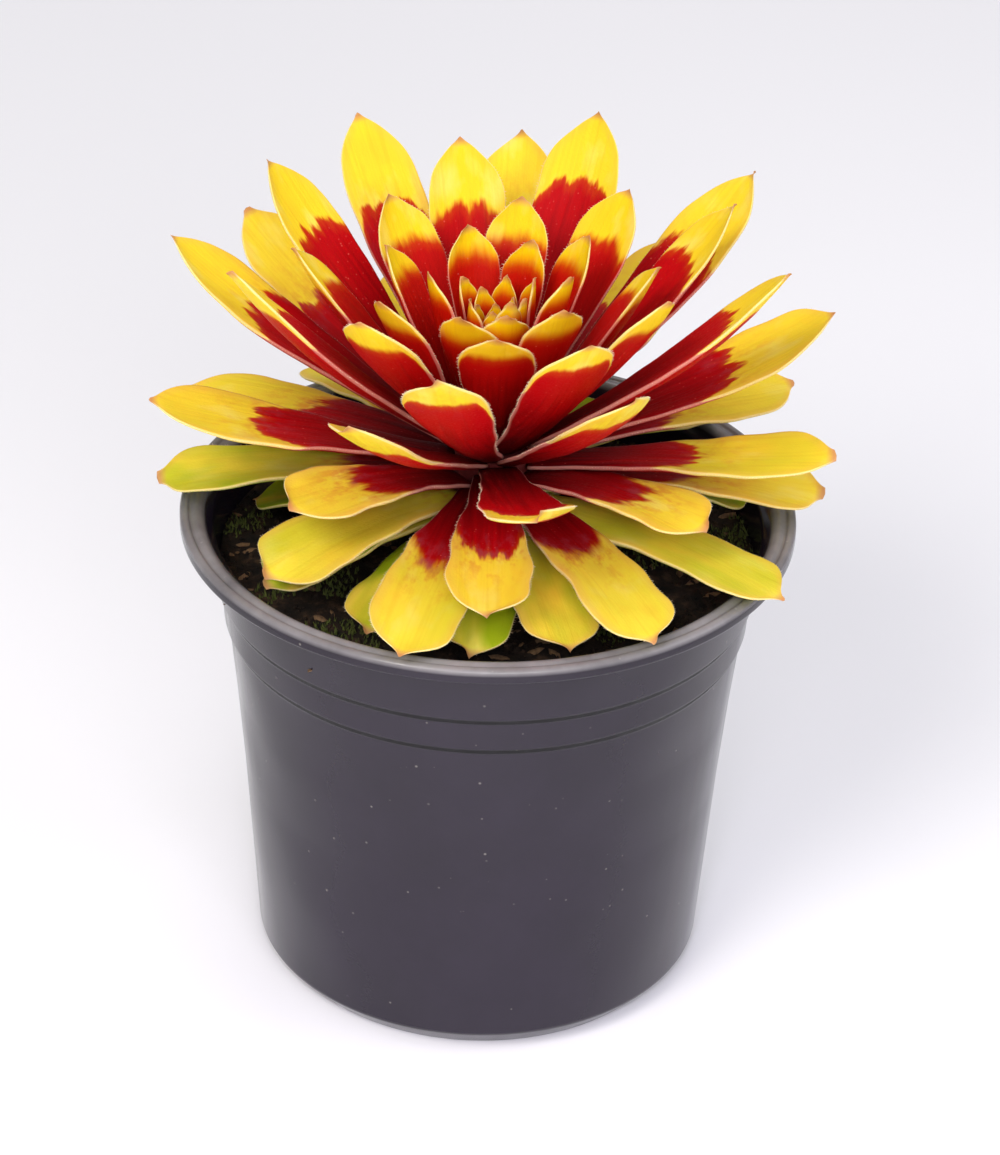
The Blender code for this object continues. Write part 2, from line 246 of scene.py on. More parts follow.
# %% [markdown]
# The sky fills the shadows. It is bright overhead and dim halfway up, so that flat leaves mirror little of it. A
# band at the horizon has the tone of the far floor, so that no dark line shows between them. Both depend on
# nothing but the height of the direction, so a few nodes do it.

# %% The sky
sky = bpy.data.worlds.new("studio ceiling")
bpy.context.scene.world = sky
sky.use_nodes = True
sky.node_tree.nodes.clear()
aim = add(sky.node_tree, "ShaderNodeTexCoord").outputs["Generated"]
height = add(sky.node_tree, "ShaderNodeSeparateXYZ", {0: aim}).outputs["Z"]
steep = add(sky.node_tree, "ShaderNodeMath", {0: height, 1: 3.0}, operation="POWER", use_clamp=True).outputs[0]
glow = add(sky.node_tree, "ShaderNodeMapRange", {0: steep, 1: 0.0, 2: 1.0, 3: 0.10, 4: 1.10}).outputs[0]
band = add(sky.node_tree, "ShaderNodeMapRange", {0: height, 1: 0.0, 2: 0.22, 3: 0.34, 4: 0.0}).outputs[0]
glow = add(sky.node_tree, "ShaderNodeMath", {0: glow, 1: band}, operation="ADD").outputs[0]
ceiling = add(sky.node_tree, "ShaderNodeBackground", {"Color": colour("#f6f6fa"), "Strength": glow})
add(sky.node_tree, "ShaderNodeOutputWorld", {"Surface": ceiling.outputs[0]})
bpy.context.scene.view_settings.view_transform = "Standard"

# %% [markdown]
# The floor is a sheet of pale paper, matt, with a very faint unevenness.

# %% The floor
FLOOR_HALF = 3

paper, tree = start_material("pale paper floor")
fibres = add(tree, "ShaderNodeTexNoise", {"Scale": 9.0, "Detail": 2.0})
shade = add(tree, "ShaderNodeMix", {
    0: fibres.outputs["Fac"], 6: colour("#f1f0f4"), 7: colour("#f6f5f8")}, data_type="RGBA")
surface = add(tree, "ShaderNodeBsdfPrincipled", {"Base Color": shade.outputs[2], "Roughness": 0.6})
add(tree, "ShaderNodeOutputMaterial", {"Surface": surface.outputs["BSDF"]})
floor_corners = [(x * FLOOR_HALF, y * FLOOR_HALF, 0) for x, y in ((-1, -1), (1, -1), (1, 1), (-1, 1))]
floor = object_from("floor", floor_corners, [(0, 1, 2, 3)], paper)
print("floor", 2 * FLOOR_HALF, "m wide")

# %% [markdown]
# ## The pot
# A nursery pot is blown or moulded in thin polypropylene, and its outside is a shape turned about an axis. So it
# is drawn as half a section and turned. Every corner of the section is rounded first, because moulded plastic has
# no sharp edge, and the thin bright lines on the rim in the photo are light caught by those small roundings.

# %% Pot sizes
POT_HEIGHT = 0.108
RIM_RADIUS = 0.065
RIM_DEPTH = 0.0034
RIM_INSIDE = 0.0602
WALL_THICKNESS = 0.0012
FOOT_RADIUS = 0.0440
FOOT_INSIDE = 0.0405
FOOT_RECESS = 0.0025
BASE_PLATE = 0.0016
HEEL_HEIGHT = 0.0050
WALL_OUTSIDE = (
    (0.1046, 0.0590), (0.0908, 0.0572), (0.0896, 0.0563), (0.0828, 0.0558),
    (0.0816, 0.0549), (0.0660, 0.0532), (0.0460, 0.0514), (HEEL_HEIGHT, 0.0484),
)
DRAIN_HOLES = 8
DRAIN_HOLE_RADIUS = 0.0036
DRAIN_CIRCLE = 0.0320
print("pot", POT_HEIGHT * 1000, "mm tall and", 2000 * RIM_RADIUS, "mm across the rim")

# %% [markdown]
# Three helpers do the turning. The first reads a value from a table, the second rounds the corners of a section
# with a small curve in each, and the third turns a section round the axis. A Screw modifier could turn it as well,
# but here the first and last points become single poles, so the shape is closed with no doubles to merge.

# %% Rounding and turning
def at(table, place):
    """The value at a place in a table of (place, value) pairs, on straight lines between them."""
    places, values = zip(*table)
    return np.interp(place, places, values)


def wall_radius(height):
    return float(at([(z, radius) for z, radius in reversed(WALL_OUTSIDE)], height))


def rounded(outline, reach, steps=4):
    """Rounds the corners of an outline of (radius, height) points, each by up to the reach, but not its two ends."""
    made = []
    for i, corner in enumerate(np.array(outline)):
        if i in (0, len(outline) - 1):
            made.append(corner)
            continue
        before, after = np.array(outline[i - 1]), np.array(outline[i + 1])
        cut = [min(reach, 0.48 * np.linalg.norm(side - corner)) for side in (before, after)]
        start = corner + (before - corner) / np.linalg.norm(before - corner) * cut[0]
        end = corner + (after - corner) / np.linalg.norm(after - corner) * cut[1]
        for t in np.linspace(0.0, 1.0, steps + 1):
            made.append((1 - t) ** 2 * start + 2 * t * (1 - t) * corner + t * t * end)
    return made


def turned(name, outline, segments, material):
    """A solid of revolution. The outline runs from the axis, round the section and back to the axis."""
    outline = np.array(outline)
    turns = 2 * math.pi * np.arange(segments) / segments
    points = [(0.0, 0.0, outline[0][1]), (0.0, 0.0, outline[-1][1])]
    for radius, height in outline[1:-1]:
        points += [(radius * math.cos(a), radius * math.sin(a), height) for a in turns]
    rings = len(outline) - 2
    faces = []
    for k in range(segments):
        after = (k + 1) % segments
        faces.append((0, 2 + after, 2 + k))
        last = 2 + (rings - 1) * segments
        faces.append((1, last + k, last + after))
        for ring in range(rings - 1):
            low = 2 + ring * segments
            faces.append((low + k, low + after, low + segments + after, low + segments + k))
    return object_from(name, points, faces, material)


# %% [markdown]
# Black polypropylene, moulded against polished steel, looks satin: a dark body that mirrors the room softly. Its
# gloss comes from the shader's roughness and IOR. On top of that, noise drawn out downwards is the water marks,
# and small dots are dust from the potting bench. The flat top of the lip is painted pale grey, broken up by noise:
# a painted reflection of the bright sky that it faces. A thin wall is never quite true, and a very wide and shallow
# bump makes its mirrored light as uneven as it is on the real one.

# %% Pot material: body, water marks, dust and a painted reflection on the lip
LIP_SHEEN_Z = (0.1064, 0.1074)

black_plastic, tree = start_material("moulded black polypropylene")
place = add(tree, "ShaderNodeTexCoord").outputs["Object"]
marks = add(tree, "ShaderNodeTexNoise", {"Vector": place, "Scale": 45.0, "Detail": 5.0, "Roughness": 0.6})
drips = add(tree, "ShaderNodeMapping", {"Vector": place, "Scale": (260.0, 260.0, 14.0)})
streaks = add(tree, "ShaderNodeTexNoise", {"Vector": drips.outputs["Vector"], "Scale": 1.0, "Detail": 3.0})
dust = add(tree, "ShaderNodeTexVoronoi", {"Vector": place, "Scale": 330.0, "Randomness": 1.0})
specks = add(tree, "ShaderNodeMapRange", {0: dust.outputs["Distance"], 1: 0.05, 2: 0.12, 3: 1.0, 4: 0.0})
sparse = add(tree, "ShaderNodeTexNoise", {"Vector": place, "Scale": 160.0, "Detail": 0.0})
few = add(tree, "ShaderNodeMapRange", {0: sparse.outputs["Fac"], 1: 0.60, 2: 0.68, 3: 0.0, 4: 1.0})
speck = add(tree, "ShaderNodeMath", {0: specks.outputs[0], 1: few.outputs[0]}, operation="MULTIPLY")
body = add(tree, "ShaderNodeMix", {
    0: marks.outputs["Fac"], 6: colour("#1a151f"), 7: colour("#28212f")}, data_type="RGBA")
dusty = add(tree, "ShaderNodeMix", {
    0: speck.outputs[0], 6: body.outputs[2], 7: colour("#6f6a66")}, data_type="RGBA")
level = add(tree, "ShaderNodeSeparateXYZ", {0: place}).outputs["Z"]
# Painted reflection: the lip's flat top turns pale grey, as the bright sky would mirror in it, in patches set by the
# marks noise.
lip = add(tree, "ShaderNodeMapRange", {0: level, 1: LIP_SHEEN_Z[0], 2: LIP_SHEEN_Z[1], 3: 0.0, 4: 1.0})
lip_sheen = add(tree, "ShaderNodeMath", {0: marks.outputs["Fac"], 1: lip.outputs[0]}, operation="MULTIPLY")
with_lip_sheen = add(tree, "ShaderNodeMix", {
    0: lip_sheen.outputs[0], 6: dusty.outputs[2], 7: colour("#b4b0b2")}, data_type="RGBA")

# %% [markdown]
# The gloss changes a little with the water marks. Two bumps lie over one another: a very fine grain, which is the
# mould's own, and the wide shallow one, whose rises are about 35 mm apart.

# %% Pot material: gloss and bump
gloss = add(tree, "ShaderNodeMapRange", {0: streaks.outputs["Fac"], 1: 0.3, 2: 0.75, 3: 0.11, 4: 0.20})
grain = add(tree, "ShaderNodeTexNoise", {"Vector": place, "Scale": 1600.0, "Detail": 2.0})
bump = add(tree, "ShaderNodeBump", {"Height": grain.outputs["Fac"], "Strength": 0.05, "Distance": 0.0002})
sag = add(tree, "ShaderNodeTexNoise", {"Vector": place, "Scale": 28.0, "Detail": 1.0})
bump = add(tree, "ShaderNodeBump", {
    "Height": sag.outputs["Fac"], "Strength": 0.35, "Distance": 0.004, "Normal": bump.outputs["Normal"]})

# %% [markdown]
# Two steps run round the pot under its rim. Each lies in its own shade, so it shows as a thin dark line with a
# bright one over it. The soft lamps reach under so small a step, so the material darkens and dulls it as well.

# %% Pot material: the two steps
STEP_LINES_Z = (0.0902, 0.0822)

shade = None
for step_z in STEP_LINES_Z:
    off = add(tree, "ShaderNodeMath", {0: level, 1: step_z}, operation="SUBTRACT").outputs[0]
    off = add(tree, "ShaderNodeMath", {0: off}, operation="ABSOLUTE").outputs[0]
    near = add(tree, "ShaderNodeMapRange", {0: off, 1: 0.0004, 2: 0.0010, 3: 1.0, 4: 0.0}).outputs[0]
    shade = near if shade is None else add(tree, "ShaderNodeMath", {0: shade, 1: near}, operation="ADD").outputs[0]
shaded = add(tree, "ShaderNodeMix", {0: shade, 6: with_lip_sheen.outputs[2], 7: colour("#050406")}, data_type="RGBA")
dull = add(tree, "ShaderNodeMath", {0: shade, 1: 0.5, 2: gloss.outputs[0]}, operation="MULTIPLY_ADD")
surface = add(tree, "ShaderNodeBsdfPrincipled", {
    "Base Color": shaded.outputs[2], "Roughness": dull.outputs[0], "IOR": 1.49, "Specular IOR Level": 0.34,
    "Normal": bump.outputs["Normal"],
})
add(tree, "ShaderNodeOutputMaterial", {"Surface": surface.outputs["BSDF"]})

# %% [markdown]
# The section runs from the axis under the base plate, out to the foot, up the outside, over the rolled rim, down
# the inside and back to the axis. The sizes are the CAD's, and the roundings are new.

# %% Turn the pot
POT_SEGMENTS = 224
POT_ROUNDING = 0.0007
INNER_FILLET = 0.003

floor_z = FOOT_RECESS + BASE_PLATE
inner_heel = wall_radius(floor_z + INNER_FILLET) - WALL_THICKNESS
rim = [
    (RIM_RADIUS, POT_HEIGHT - RIM_DEPTH), (RIM_RADIUS, POT_HEIGHT - 0.0004), (RIM_RADIUS - 0.0016, POT_HEIGHT),
    (RIM_RADIUS - 0.0021, POT_HEIGHT - 0.0009), (RIM_INSIDE + 0.0013, POT_HEIGHT - 0.0001),
    (RIM_INSIDE, POT_HEIGHT - 0.0008),
]
inside = [(radius - WALL_THICKNESS, height) for height, radius in WALL_OUTSIDE[:-1]]
inside += [(inner_heel, floor_z + INNER_FILLET), (inner_heel - INNER_FILLET, floor_z), (0.0, floor_z)]
foot = [(0.0, FOOT_RECESS), (FOOT_INSIDE - FOOT_RECESS, FOOT_RECESS), (FOOT_INSIDE, 0.0), (FOOT_RADIUS, 0.0)]
outside = [(radius, height) for height, radius in reversed(WALL_OUTSIDE)]
section = rounded(foot + outside + rim + inside, POT_ROUNDING)
pot = turned("pot_moulding", section, POT_SEGMENTS, black_plastic)
print("pot section", len(section), "points")

# %% [markdown]
# The drainage holes are in the mould of a real pot, but in the computer it is simplest to drill them: a short
# cylinder at each place, and a Boolean modifier that takes it away. The evaluated mesh is kept and the drills are
# thrown away, so nothing live is left on the pot.

# %% Drill the drainage holes
DRILL_LENGTH = 0.012

for index in range(DRAIN_HOLES):
    turn = 2 * math.pi * (index + 0.5) / DRAIN_HOLES
    shape = bmesh.new()
    bmesh.ops.create_cone(
        shape, cap_ends=True, segments=32, radius1=DRAIN_HOLE_RADIUS, radius2=DRAIN_HOLE_RADIUS, depth=DRILL_LENGTH,
        matrix=Matrix.Translation((DRAIN_CIRCLE * math.cos(turn), DRAIN_CIRCLE * math.sin(turn), FOOT_RECESS)),
    )
    mesh = bpy.data.meshes.new("drill")
    shape.to_mesh(mesh)
    shape.free()
    drill = link(bpy.data.objects.new("drill", mesh))
    cut = pot.modifiers.new("hole", "BOOLEAN")
    cut.operation = "DIFFERENCE"
    cut.object = drill
graph = bpy.context.evaluated_depsgraph_get()
drilled = bpy.data.meshes.new_from_object(pot.evaluated_get(graph), depsgraph=graph)
pot.modifiers.clear()
pot.data = drilled
for spare in [o for o in bpy.data.objects if o.name.startswith("drill")]:
    bpy.data.objects.remove(spare)
pot.data.shade_smooth()
pot.data.set_sharp_from_angle(angle=math.radians(50))
print("pot", len(pot.data.polygons), "faces")

# %% [markdown]
# ## The soil
# Potting soil is dark peat with bits of bark, and a little moss where it stays wet. A flat disc would look
# painted, so the ground is a fine turned mesh whose top is pushed up and down by noise, and Geometry Nodes strew
# crumbs, bark chips and moss over it. Scattering is what Geometry Nodes do best: one small shape, placed
# thousands of times, with a seed so that it falls the same way each time.

# %% Soil sizes
GAP = 0.0003
SOIL_EDGE_Z = 0.0965
SOIL_CROWN_Z = 0.0985
STEM_RADIUS = 0.0080
STEM_FOOT_Z = 0.0860
PLANT_X = 0.0006
PLANT_Y = 0.0012
OPEN_GROUND_Z = 0.0940
print("soil", round((POT_HEIGHT - SOIL_EDGE_Z) * 1000, 1), "mm under the rim")

# %% [markdown]
# Peat is near black when wet, brown where a crumb has dried, and quite without gloss. One noise with much detail
# drives both its colour, through a ramp of three browns, and its bump, so that what stands up is what looks dry.

# %% Peat
peat, tree = start_material("damp peat and bark")
place = add(tree, "ShaderNodeTexCoord").outputs["Object"]
clods = add(tree, "ShaderNodeTexNoise", {"Vector": place, "Scale": 260.0, "Detail": 6.0, "Roughness": 0.65})
ramp = add(tree, "ShaderNodeValToRGB", {"Fac": clods.outputs["Fac"]})
ramp.color_ramp.elements[0].position = 0.36
ramp.color_ramp.elements[0].color = colour("#0d0a08")
ramp.color_ramp.elements[1].position = 0.72
ramp.color_ramp.elements[1].color = colour("#4a3727")
brown = ramp.color_ramp.elements.new(0.55)
brown.color = colour("#241a13")
bump = add(tree, "ShaderNodeBump", {"Height": clods.outputs["Fac"], "Strength": 0.8, "Distance": 0.0008})
surface = add(tree, "ShaderNodeBsdfPrincipled", {
    "Base Color": ramp.outputs["Color"], "Roughness": 0.92, "Specular IOR Level": 0.25,
    "Normal": bump.outputs["Normal"],
})
add(tree, "ShaderNodeOutputMaterial", {"Surface": surface.outputs["BSDF"]})

# %% [markdown]
# Composted pine bark is drier and lighter than the peat, with a grain of about half a millimetre. Its noise is
# squeezed in one direction more than in the others, which is all that a grain is.

# %% Bark
bark, tree = start_material("composted pine bark")
place = add(tree, "ShaderNodeTexCoord").outputs["Object"]
fibre = add(tree, "ShaderNodeMapping", {"Vector": place, "Scale": (2000.0, 400.0, 900.0)})
grain = add(tree, "ShaderNodeTexNoise", {"Vector": fibre.outputs["Vector"], "Scale": 1.0, "Detail": 3.0})
tone = add(tree, "ShaderNodeMix", {
    0: grain.outputs["Fac"], 6: colour("#2c1d12"), 7: colour("#8a6a49")}, data_type="RGBA")
bump = add(tree, "ShaderNodeBump", {"Height": grain.outputs["Fac"], "Strength": 0.5, "Distance": 0.0003})
surface = add(tree, "ShaderNodeBsdfPrincipled", {
    "Base Color": tone.outputs[2], "Roughness": 0.85, "Normal": bump.outputs["Normal"],
})
add(tree, "ShaderNodeOutputMaterial", {"Surface": surface.outputs["BSDF"]})

# %% [markdown]
# Living moss is olive green, from nearly black where it is old to yellowish in the fresh parts. Its shoots are so
# small that a tone that changes from patch to patch is all the eye gets.

# %% Moss
moss_skin, tree = start_material("living moss")
place = add(tree, "ShaderNodeTexCoord").outputs["Object"]
patch = add(tree, "ShaderNodeTexNoise", {"Vector": place, "Scale": 420.0, "Detail": 2.0})
tone = add(tree, "ShaderNodeMix", {
    0: patch.outputs["Fac"], 6: colour("#20260c"), 7: colour("#66702a")}, data_type="RGBA")
surface = add(tree, "ShaderNodeBsdfPrincipled", {"Base Color": tone.outputs[2], "Roughness": 0.8})
add(tree, "ShaderNodeOutputMaterial", {"Surface": surface.outputs["BSDF"]})

# %% [markdown]
# The root ball is turned like the pot, 0.3 mm clear of its wall, with a socket in the middle for the stem. The top
# gets rings close together, so that the noise has points to move. The rest hides against the pot and needs few.
# The noise fades out at the wall, so that the soil stays inside. The plant stands a little off the pot's axis, and
# the socket moves with it.

# %% Turn the root ball
SOIL_SEGMENTS = 180
SOIL_RINGS = 46
CLOD_HEIGHT, CLODS_PER_METRE = 0.0011, 110.0
GRIT_HEIGHT, GRIT_PER_METRE = 0.0007, 420.0
SETTLED = 0.0004

top_radius = wall_radius(SOIL_EDGE_Z) - WALL_THICKNESS - GAP
socket_radius = STEM_RADIUS + GAP + 0.0022
ball = [(0.0, STEM_FOOT_Z - GAP), (socket_radius - 0.003, STEM_FOOT_Z - GAP), (socket_radius, STEM_FOOT_Z + 0.005)]
ground = ((0.02, SOIL_CROWN_Z), (0.04, 0.0975), (top_radius, SOIL_EDGE_Z))
for share in np.linspace(0.0, 1.0, SOIL_RINGS):
    radius = socket_radius + (top_radius - socket_radius) * share
    ball.append((radius, float(at(ground, radius))))
ball += [(wall_radius(z) - WALL_THICKNESS - GAP, z) for z, _ in WALL_OUTSIDE[1:-1]]
ball += [(inner_heel - 0.0008, floor_z + 0.004), (inner_heel - 0.0036, floor_z + GAP), (0.0, floor_z + GAP)]
soil = turned("root_ball", ball[::-1], SOIL_SEGMENTS, peat)
for vertex in soil.data.vertices:
    x, y, z = vertex.co
    radius = math.hypot(x, y)
    if z > OPEN_GROUND_Z and socket_radius < radius < top_radius - 0.0004:
        clod = CLOD_HEIGHT * noise.noise(Vector((x, y, 0.0)) * CLODS_PER_METRE)
        grit = GRIT_HEIGHT * noise.noise(Vector((x, y, 1.0)) * GRIT_PER_METRE)
        fade = min(1.0, (top_radius - radius) / 0.003)
        vertex.co.z += (clod + grit - SETTLED) * fade
    if z > STEM_FOOT_Z - 0.001 and radius <= socket_radius + 1e-6:
        vertex.co.x += PLANT_X
        vertex.co.y += PLANT_Y
soil.data.shade_smooth()
print("root ball", len(soil.data.polygons), "faces")

# %% [markdown]
# Each thing that is strewn starts as one small shape, about one unit wide: a peat crumb and a bark chip are
# icospheres pushed in and out by noise, and a moss shoot is three pointed blades. With 80 faces or fewer, a shape
# can be there thousands of times.

# %% A crumb, a chip and a moss shoot
def lump(name, seed, stretch, roughness, material):
    """A small uneven stone shape about one unit wide, from an icosphere of 80 faces."""
    shape = bmesh.new()
    bmesh.ops.create_icosphere(shape, subdivisions=1, radius=0.5)
    for vertex in shape.verts:
        push = 1.0 + roughness * noise.noise(vertex.co * 2.3 + Vector((seed, 0.0, 0.0)))
        vertex.co = Vector(vertex.co[i] * push * stretch[i] for i in range(3))
    mesh = bpy.data.meshes.new(name)
    shape.to_mesh(mesh)
    shape.free()
    mesh.materials.append(material)
    return link(bpy.data.objects.new(name, mesh))


crumb = lump("crumb", 3.0, (1.0, 0.8, 0.7), 0.9, peat)
chip = lump("chip", 8.0, (1.6, 0.7, 0.32), 0.7, bark)
shoot = object_from("shoot", [
    (-0.18, 0, 0), (0.18, 0, 0), (0, 0.1, 1.0), (0.0, -0.18, 0), (0.1, 0.18, 0), (0.35, 0.0, 0.8),
    (-0.1, 0.2, 0), (-0.15, -0.16, 0), (-0.4, 0.05, 0.75),
], [(0, 1, 2), (3, 4, 5), (6, 7, 8)], moss_skin)

# %% [markdown]
# The scattering recipe drops points on the faces that look up and lie high enough, thins them out into patches
# with a noise where asked, and puts the shape on each with a turn and a size of its own. Chips and moss lie flatter
# than crumbs, which "Lie Flat" does by holding back every turn but the one about the vertical.

# %% The scattering recipe
HALF_TURN = 3.1

scatter, given = start_recipe("Scatter over the soil", {
    "Shape": ("NodeSocketObject", None),
    "Per Square Metre": ("NodeSocketFloat", 100000.0),
    "Smallest": ("NodeSocketFloat", 0.0005),
    "Largest": ("NodeSocketFloat", 0.0015),
    "Lie Flat": ("NodeSocketFloat", 0.0),
    "Patch Size": ("NodeSocketFloat", 60.0),
    "Patch Cover": ("NodeSocketFloat", 0.0),
    "Seed": ("NodeSocketInt", 1),
    "Finish": ("NodeSocketMaterial", None),
})
up = add(scatter, "ShaderNodeSeparateXYZ", {0: add(scatter, "GeometryNodeInputNormal").outputs[0]}).outputs["Z"]
spot = add(scatter, "GeometryNodeInputPosition").outputs[0]
height = add(scatter, "ShaderNodeSeparateXYZ", {0: spot}).outputs["Z"]
facing_up = add(scatter, "FunctionNodeCompare", {0: up, 1: 0.5}, operation="GREATER_THAN")
is_high = add(scatter, "FunctionNodeCompare", {0: height, 1: OPEN_GROUND_Z}, operation="GREATER_THAN")
on_top = add(scatter, "FunctionNodeBooleanMath", {0: facing_up.outputs[0], 1: is_high.outputs[0]}, operation="AND")
patches = add(scatter, "ShaderNodeTexNoise", {"Scale": given["Patch Size"], "Detail": 1.0})
thick = add(scatter, "ShaderNodeMath", {0: patches.outputs["Fac"], 1: given["Patch Cover"]}, operation="GREATER_THAN")
density = add(scatter, "ShaderNodeMath", {0: thick.outputs[0], 1: given["Per Square Metre"]}, operation="MULTIPLY")
spots = add(scatter, "GeometryNodeDistributePointsOnFaces", {
    "Mesh": given["Geometry"], "Selection": on_top.outputs[0], "Density": density.outputs[0], "Seed": given["Seed"],
})
shape = add(scatter, "GeometryNodeObjectInfo", {"Object": given["Shape"]})
spin = add(scatter, "FunctionNodeRandomValue", {
    0: (-HALF_TURN,) * 3, 1: (HALF_TURN,) * 3, "Seed": given["Seed"]}, data_type="FLOAT_VECTOR")
calm = add(scatter, "ShaderNodeMapRange", {0: given["Lie Flat"], 1: 0.0, 2: 1.0, 3: 1.0, 4: 0.12})
tilt = add(scatter, "ShaderNodeCombineXYZ", {0: calm.outputs[0], 1: calm.outputs[0], 2: 1.0})
turn = add(scatter, "ShaderNodeVectorMath", {0: spin.outputs[0], 1: tilt.outputs[0]}, operation="MULTIPLY")
size = add(scatter, "FunctionNodeRandomValue", {2: given["Smallest"], 3: given["Largest"], "Seed": given["Seed"]})
strewn = add(scatter, "GeometryNodeInstanceOnPoints", {
    "Points": spots.outputs["Points"], "Instance": shape.outputs["Geometry"],
    "Rotation": turn.outputs[0], "Scale": size.outputs[1],
})
finish_recipe(scatter, strewn.outputs["Instances"], given["Finish"])

# %% [markdown]
# Now the recipe is cooked three times on a copy of the root ball, with other sizes and another seed each time. The
# sizes are the real ones: crumbs of 0.6 to 2 mm, chips of 2 to 5 mm and moss shoots of 0.7 to 2 mm.

# %% Strew the soil
crumbs = cooked("peat_crumbs", soil.data.copy(), scatter, {
    "Shape": crumb, "Per Square Metre": 210000.0, "Smallest": 0.0006, "Largest": 0.0021, "Seed": 4, "Finish": peat,
})
chips = cooked("bark_chips", soil.data.copy(), scatter, {
    "Shape": chip, "Per Square Metre": 16000.0, "Smallest": 0.0012, "Largest": 0.0034, "Lie Flat": 1.0,
    "Seed": 9, "Finish": bark,
})
moss = cooked("moss_shoots", soil.data.copy(), scatter, {
    "Shape": shoot, "Per Square Metre": 900000.0, "Smallest": 0.0007, "Largest": 0.0019, "Lie Flat": 1.0,
    "Patch Size": 55.0, "Patch Cover": 0.56, "Seed": 2, "Finish": moss_skin,
})
for spare in (crumb, chip, shoot):
    bpy.data.objects.remove(spare)

# %% [markdown]
# ## The rule of the rosette
# Every leaf follows the same few laws, which change slowly with its age: how far out and how high its tip is, how
# wide and thick it is, and how it bends. A leaf's number is its age, 0 for the youngest. These are the laws of
# the CAD model, so a fine leaf made here lies exactly where its plain CAD leaf lies. A few leaves that show
# clearly stand a little off the spiral: so many degrees round, and so far out and up, in metres.

# %% The laws, by leaf number
LEAVES = 56
OLD_LEAVES = 10
GOLDEN_ANGLE = math.radians(137.50776)
FIRST_AZIMUTH = math.radians(282.5)
SEED = 7
STEM_SHOULDER_Z = 0.1240
STEM_TOP_Z = 0.1345
STEM_TOP_RADIUS = 0.0052
STEM_LEAF_ROOT = 0.0020
OFF_SPIRAL = {
    0: (0.0, 0.000, -0.0050),
    5: (0.0, 0.000, -0.0045),
    29: (-13.0, -0.011, -0.003),
    31: (13.0, -0.011, -0.003),
    37: (17.0, 0.001, -0.002),
    39: (24.0, -0.013, -0.009),
    42: (25.0, -0.0145, 0.0055),
    44: (7.0, -0.0135, 0.012),
    45: (9.5, 0.0025, -0.001),
    47: (-8.0, 0.004, -0.003),
    49: (0.0, 0.008, 0.002),
    50: (-17.0, 0.0075, 0.002),
    52: (-12.5, 0.002, 0.005),
    55: (0.0, 0.002, 0.001),
    57: (15.0, 0.001, 0.000),
    58: (-8.5, 0.0175, 0.0055),
    60: (12.0, 0.001, 0.001),
    63: (0.0, 0.000, 0.001),
    65: (22.0, 0.0025, 0.004),
}
AGE_TIP_RADIUS = (
    (0, 0.0120), (5, 0.0195), (10, 0.0305), (15, 0.0420), (20, 0.0540), (24, 0.0620), (30, 0.0695),
    (34, 0.0725), (39, 0.0725), (43, 0.0690), (47, 0.0640), (51, 0.0590), (55, 0.0550), (65, 0.0500),
)
AGE_TIP_Z = (
    (0, 0.1640), (5, 0.1660), (10, 0.1655), (15, 0.1695), (20, 0.1745), (24, 0.1745), (30, 0.1610), (34, 0.1480),
    (38, 0.1300), (41, 0.1190), (43, 0.1150), (47, 0.1120), (51, 0.1080), (55, 0.1040), (65, 0.1000),
)
AGE_BASE_Z = ((0, 0.1332), (7, 0.1304), (24, 0.1248), (42, 0.1174), (55, 0.1114), (65, 0.1065))
AGE_WIDTH = ((0, 0.0100), (5, 0.0125), (13, 0.0155), (22, 0.0172), (42, 0.0182), (55, 0.0176))
AGE_THICKNESS = ((0, 0.0012), (5, 0.0016), (14, 0.0022), (24, 0.0026), (42, 0.0027), (65, 0.0030))
AGE_BASE_BEND = ((0, 8), (5, 4), (14, -3), (24, -6), (34, -4), (41, 12), (55, 14))
AGE_TIP_BEND = ((0, 4), (5, 4), (14, 8), (24, 12), (34, 14), (41, -4), (55, -10))
print("leaves", LEAVES, "and", OLD_LEAVES, "older ones that are part of the stem")

# %% [markdown]
# Some laws are the skin's own and are not in the CAD: how many millimetres of the tip have turned yellow, above
# and below, how green the leaf is, how far the boundary frays and how soft it is, and how blunt the outline is. The
# leaves in the middle are red nearly to their tips. The oldest have lost all their red. The leaves that show most
# clearly have a yellow and a green of their own, because real neighbours differ more than a law of age says.

# %% Colour laws and the outline
AGE_YELLOW_MM = (
    (0, 4), (5, 7), (10, 10), (15, 13), (20, 17), (25, 20), (30, 22), (36, 26), (42, 28), (47, 33), (50, 48),
    (66, 90),
)
AGE_YELLOW_BELOW_MM = ((0, 4.0), (6, 5.5), (13, 7.5), (20, 9.5), (34, 11.0), (41, 15), (47, 24), (50, 48), (66, 90))
AGE_GREEN = ((0, 0.0), (26, 0.02), (36, 0.12), (43, 0.22), (48, 0.48), (54, 0.95), (60, 1.2), (66, 1.2))
AGE_FRAY_MM = ((0, 3), (10, 4), (20, 11), (30, 15), (40, 14), (48, 10), (60, 9))
AGE_SOFTNESS_MM = ((5, 2.2), (22, 1.0), (38, 1.0), (47, 2.6))
AGE_BLUNTNESS = ((0, -0.7), (10, -0.4), (24, -0.1), (36, 0.25), (46, 0.75), (56, 1.0))
YELLOW_OF_ITS_OWN = {34: 15.0, 37: 30.0, 39: 21.0, 42: 18.0, 44: 19.0, 45: 28.0, 47: 27.5, 50: 29.0}
GREEN_OF_ITS_OWN = {
    37: 0.3, 39: 0.12, 42: 0.05, 44: 0.05, 45: 0.1, 47: 0.30, 50: 0.2, 52: 0.35, 55: 0.6, 58: 0.45,
}

# %% [markdown]
# The outline gives the leaf's half width by the share of its length. A young leaf runs to a long point, and an old
# one is blunt with a short hard point of its own, the mucro. Every leaf's outline lies between these two, or a
# little past them. A smooth curve is laid through the points, because straight pieces would show at the margin.

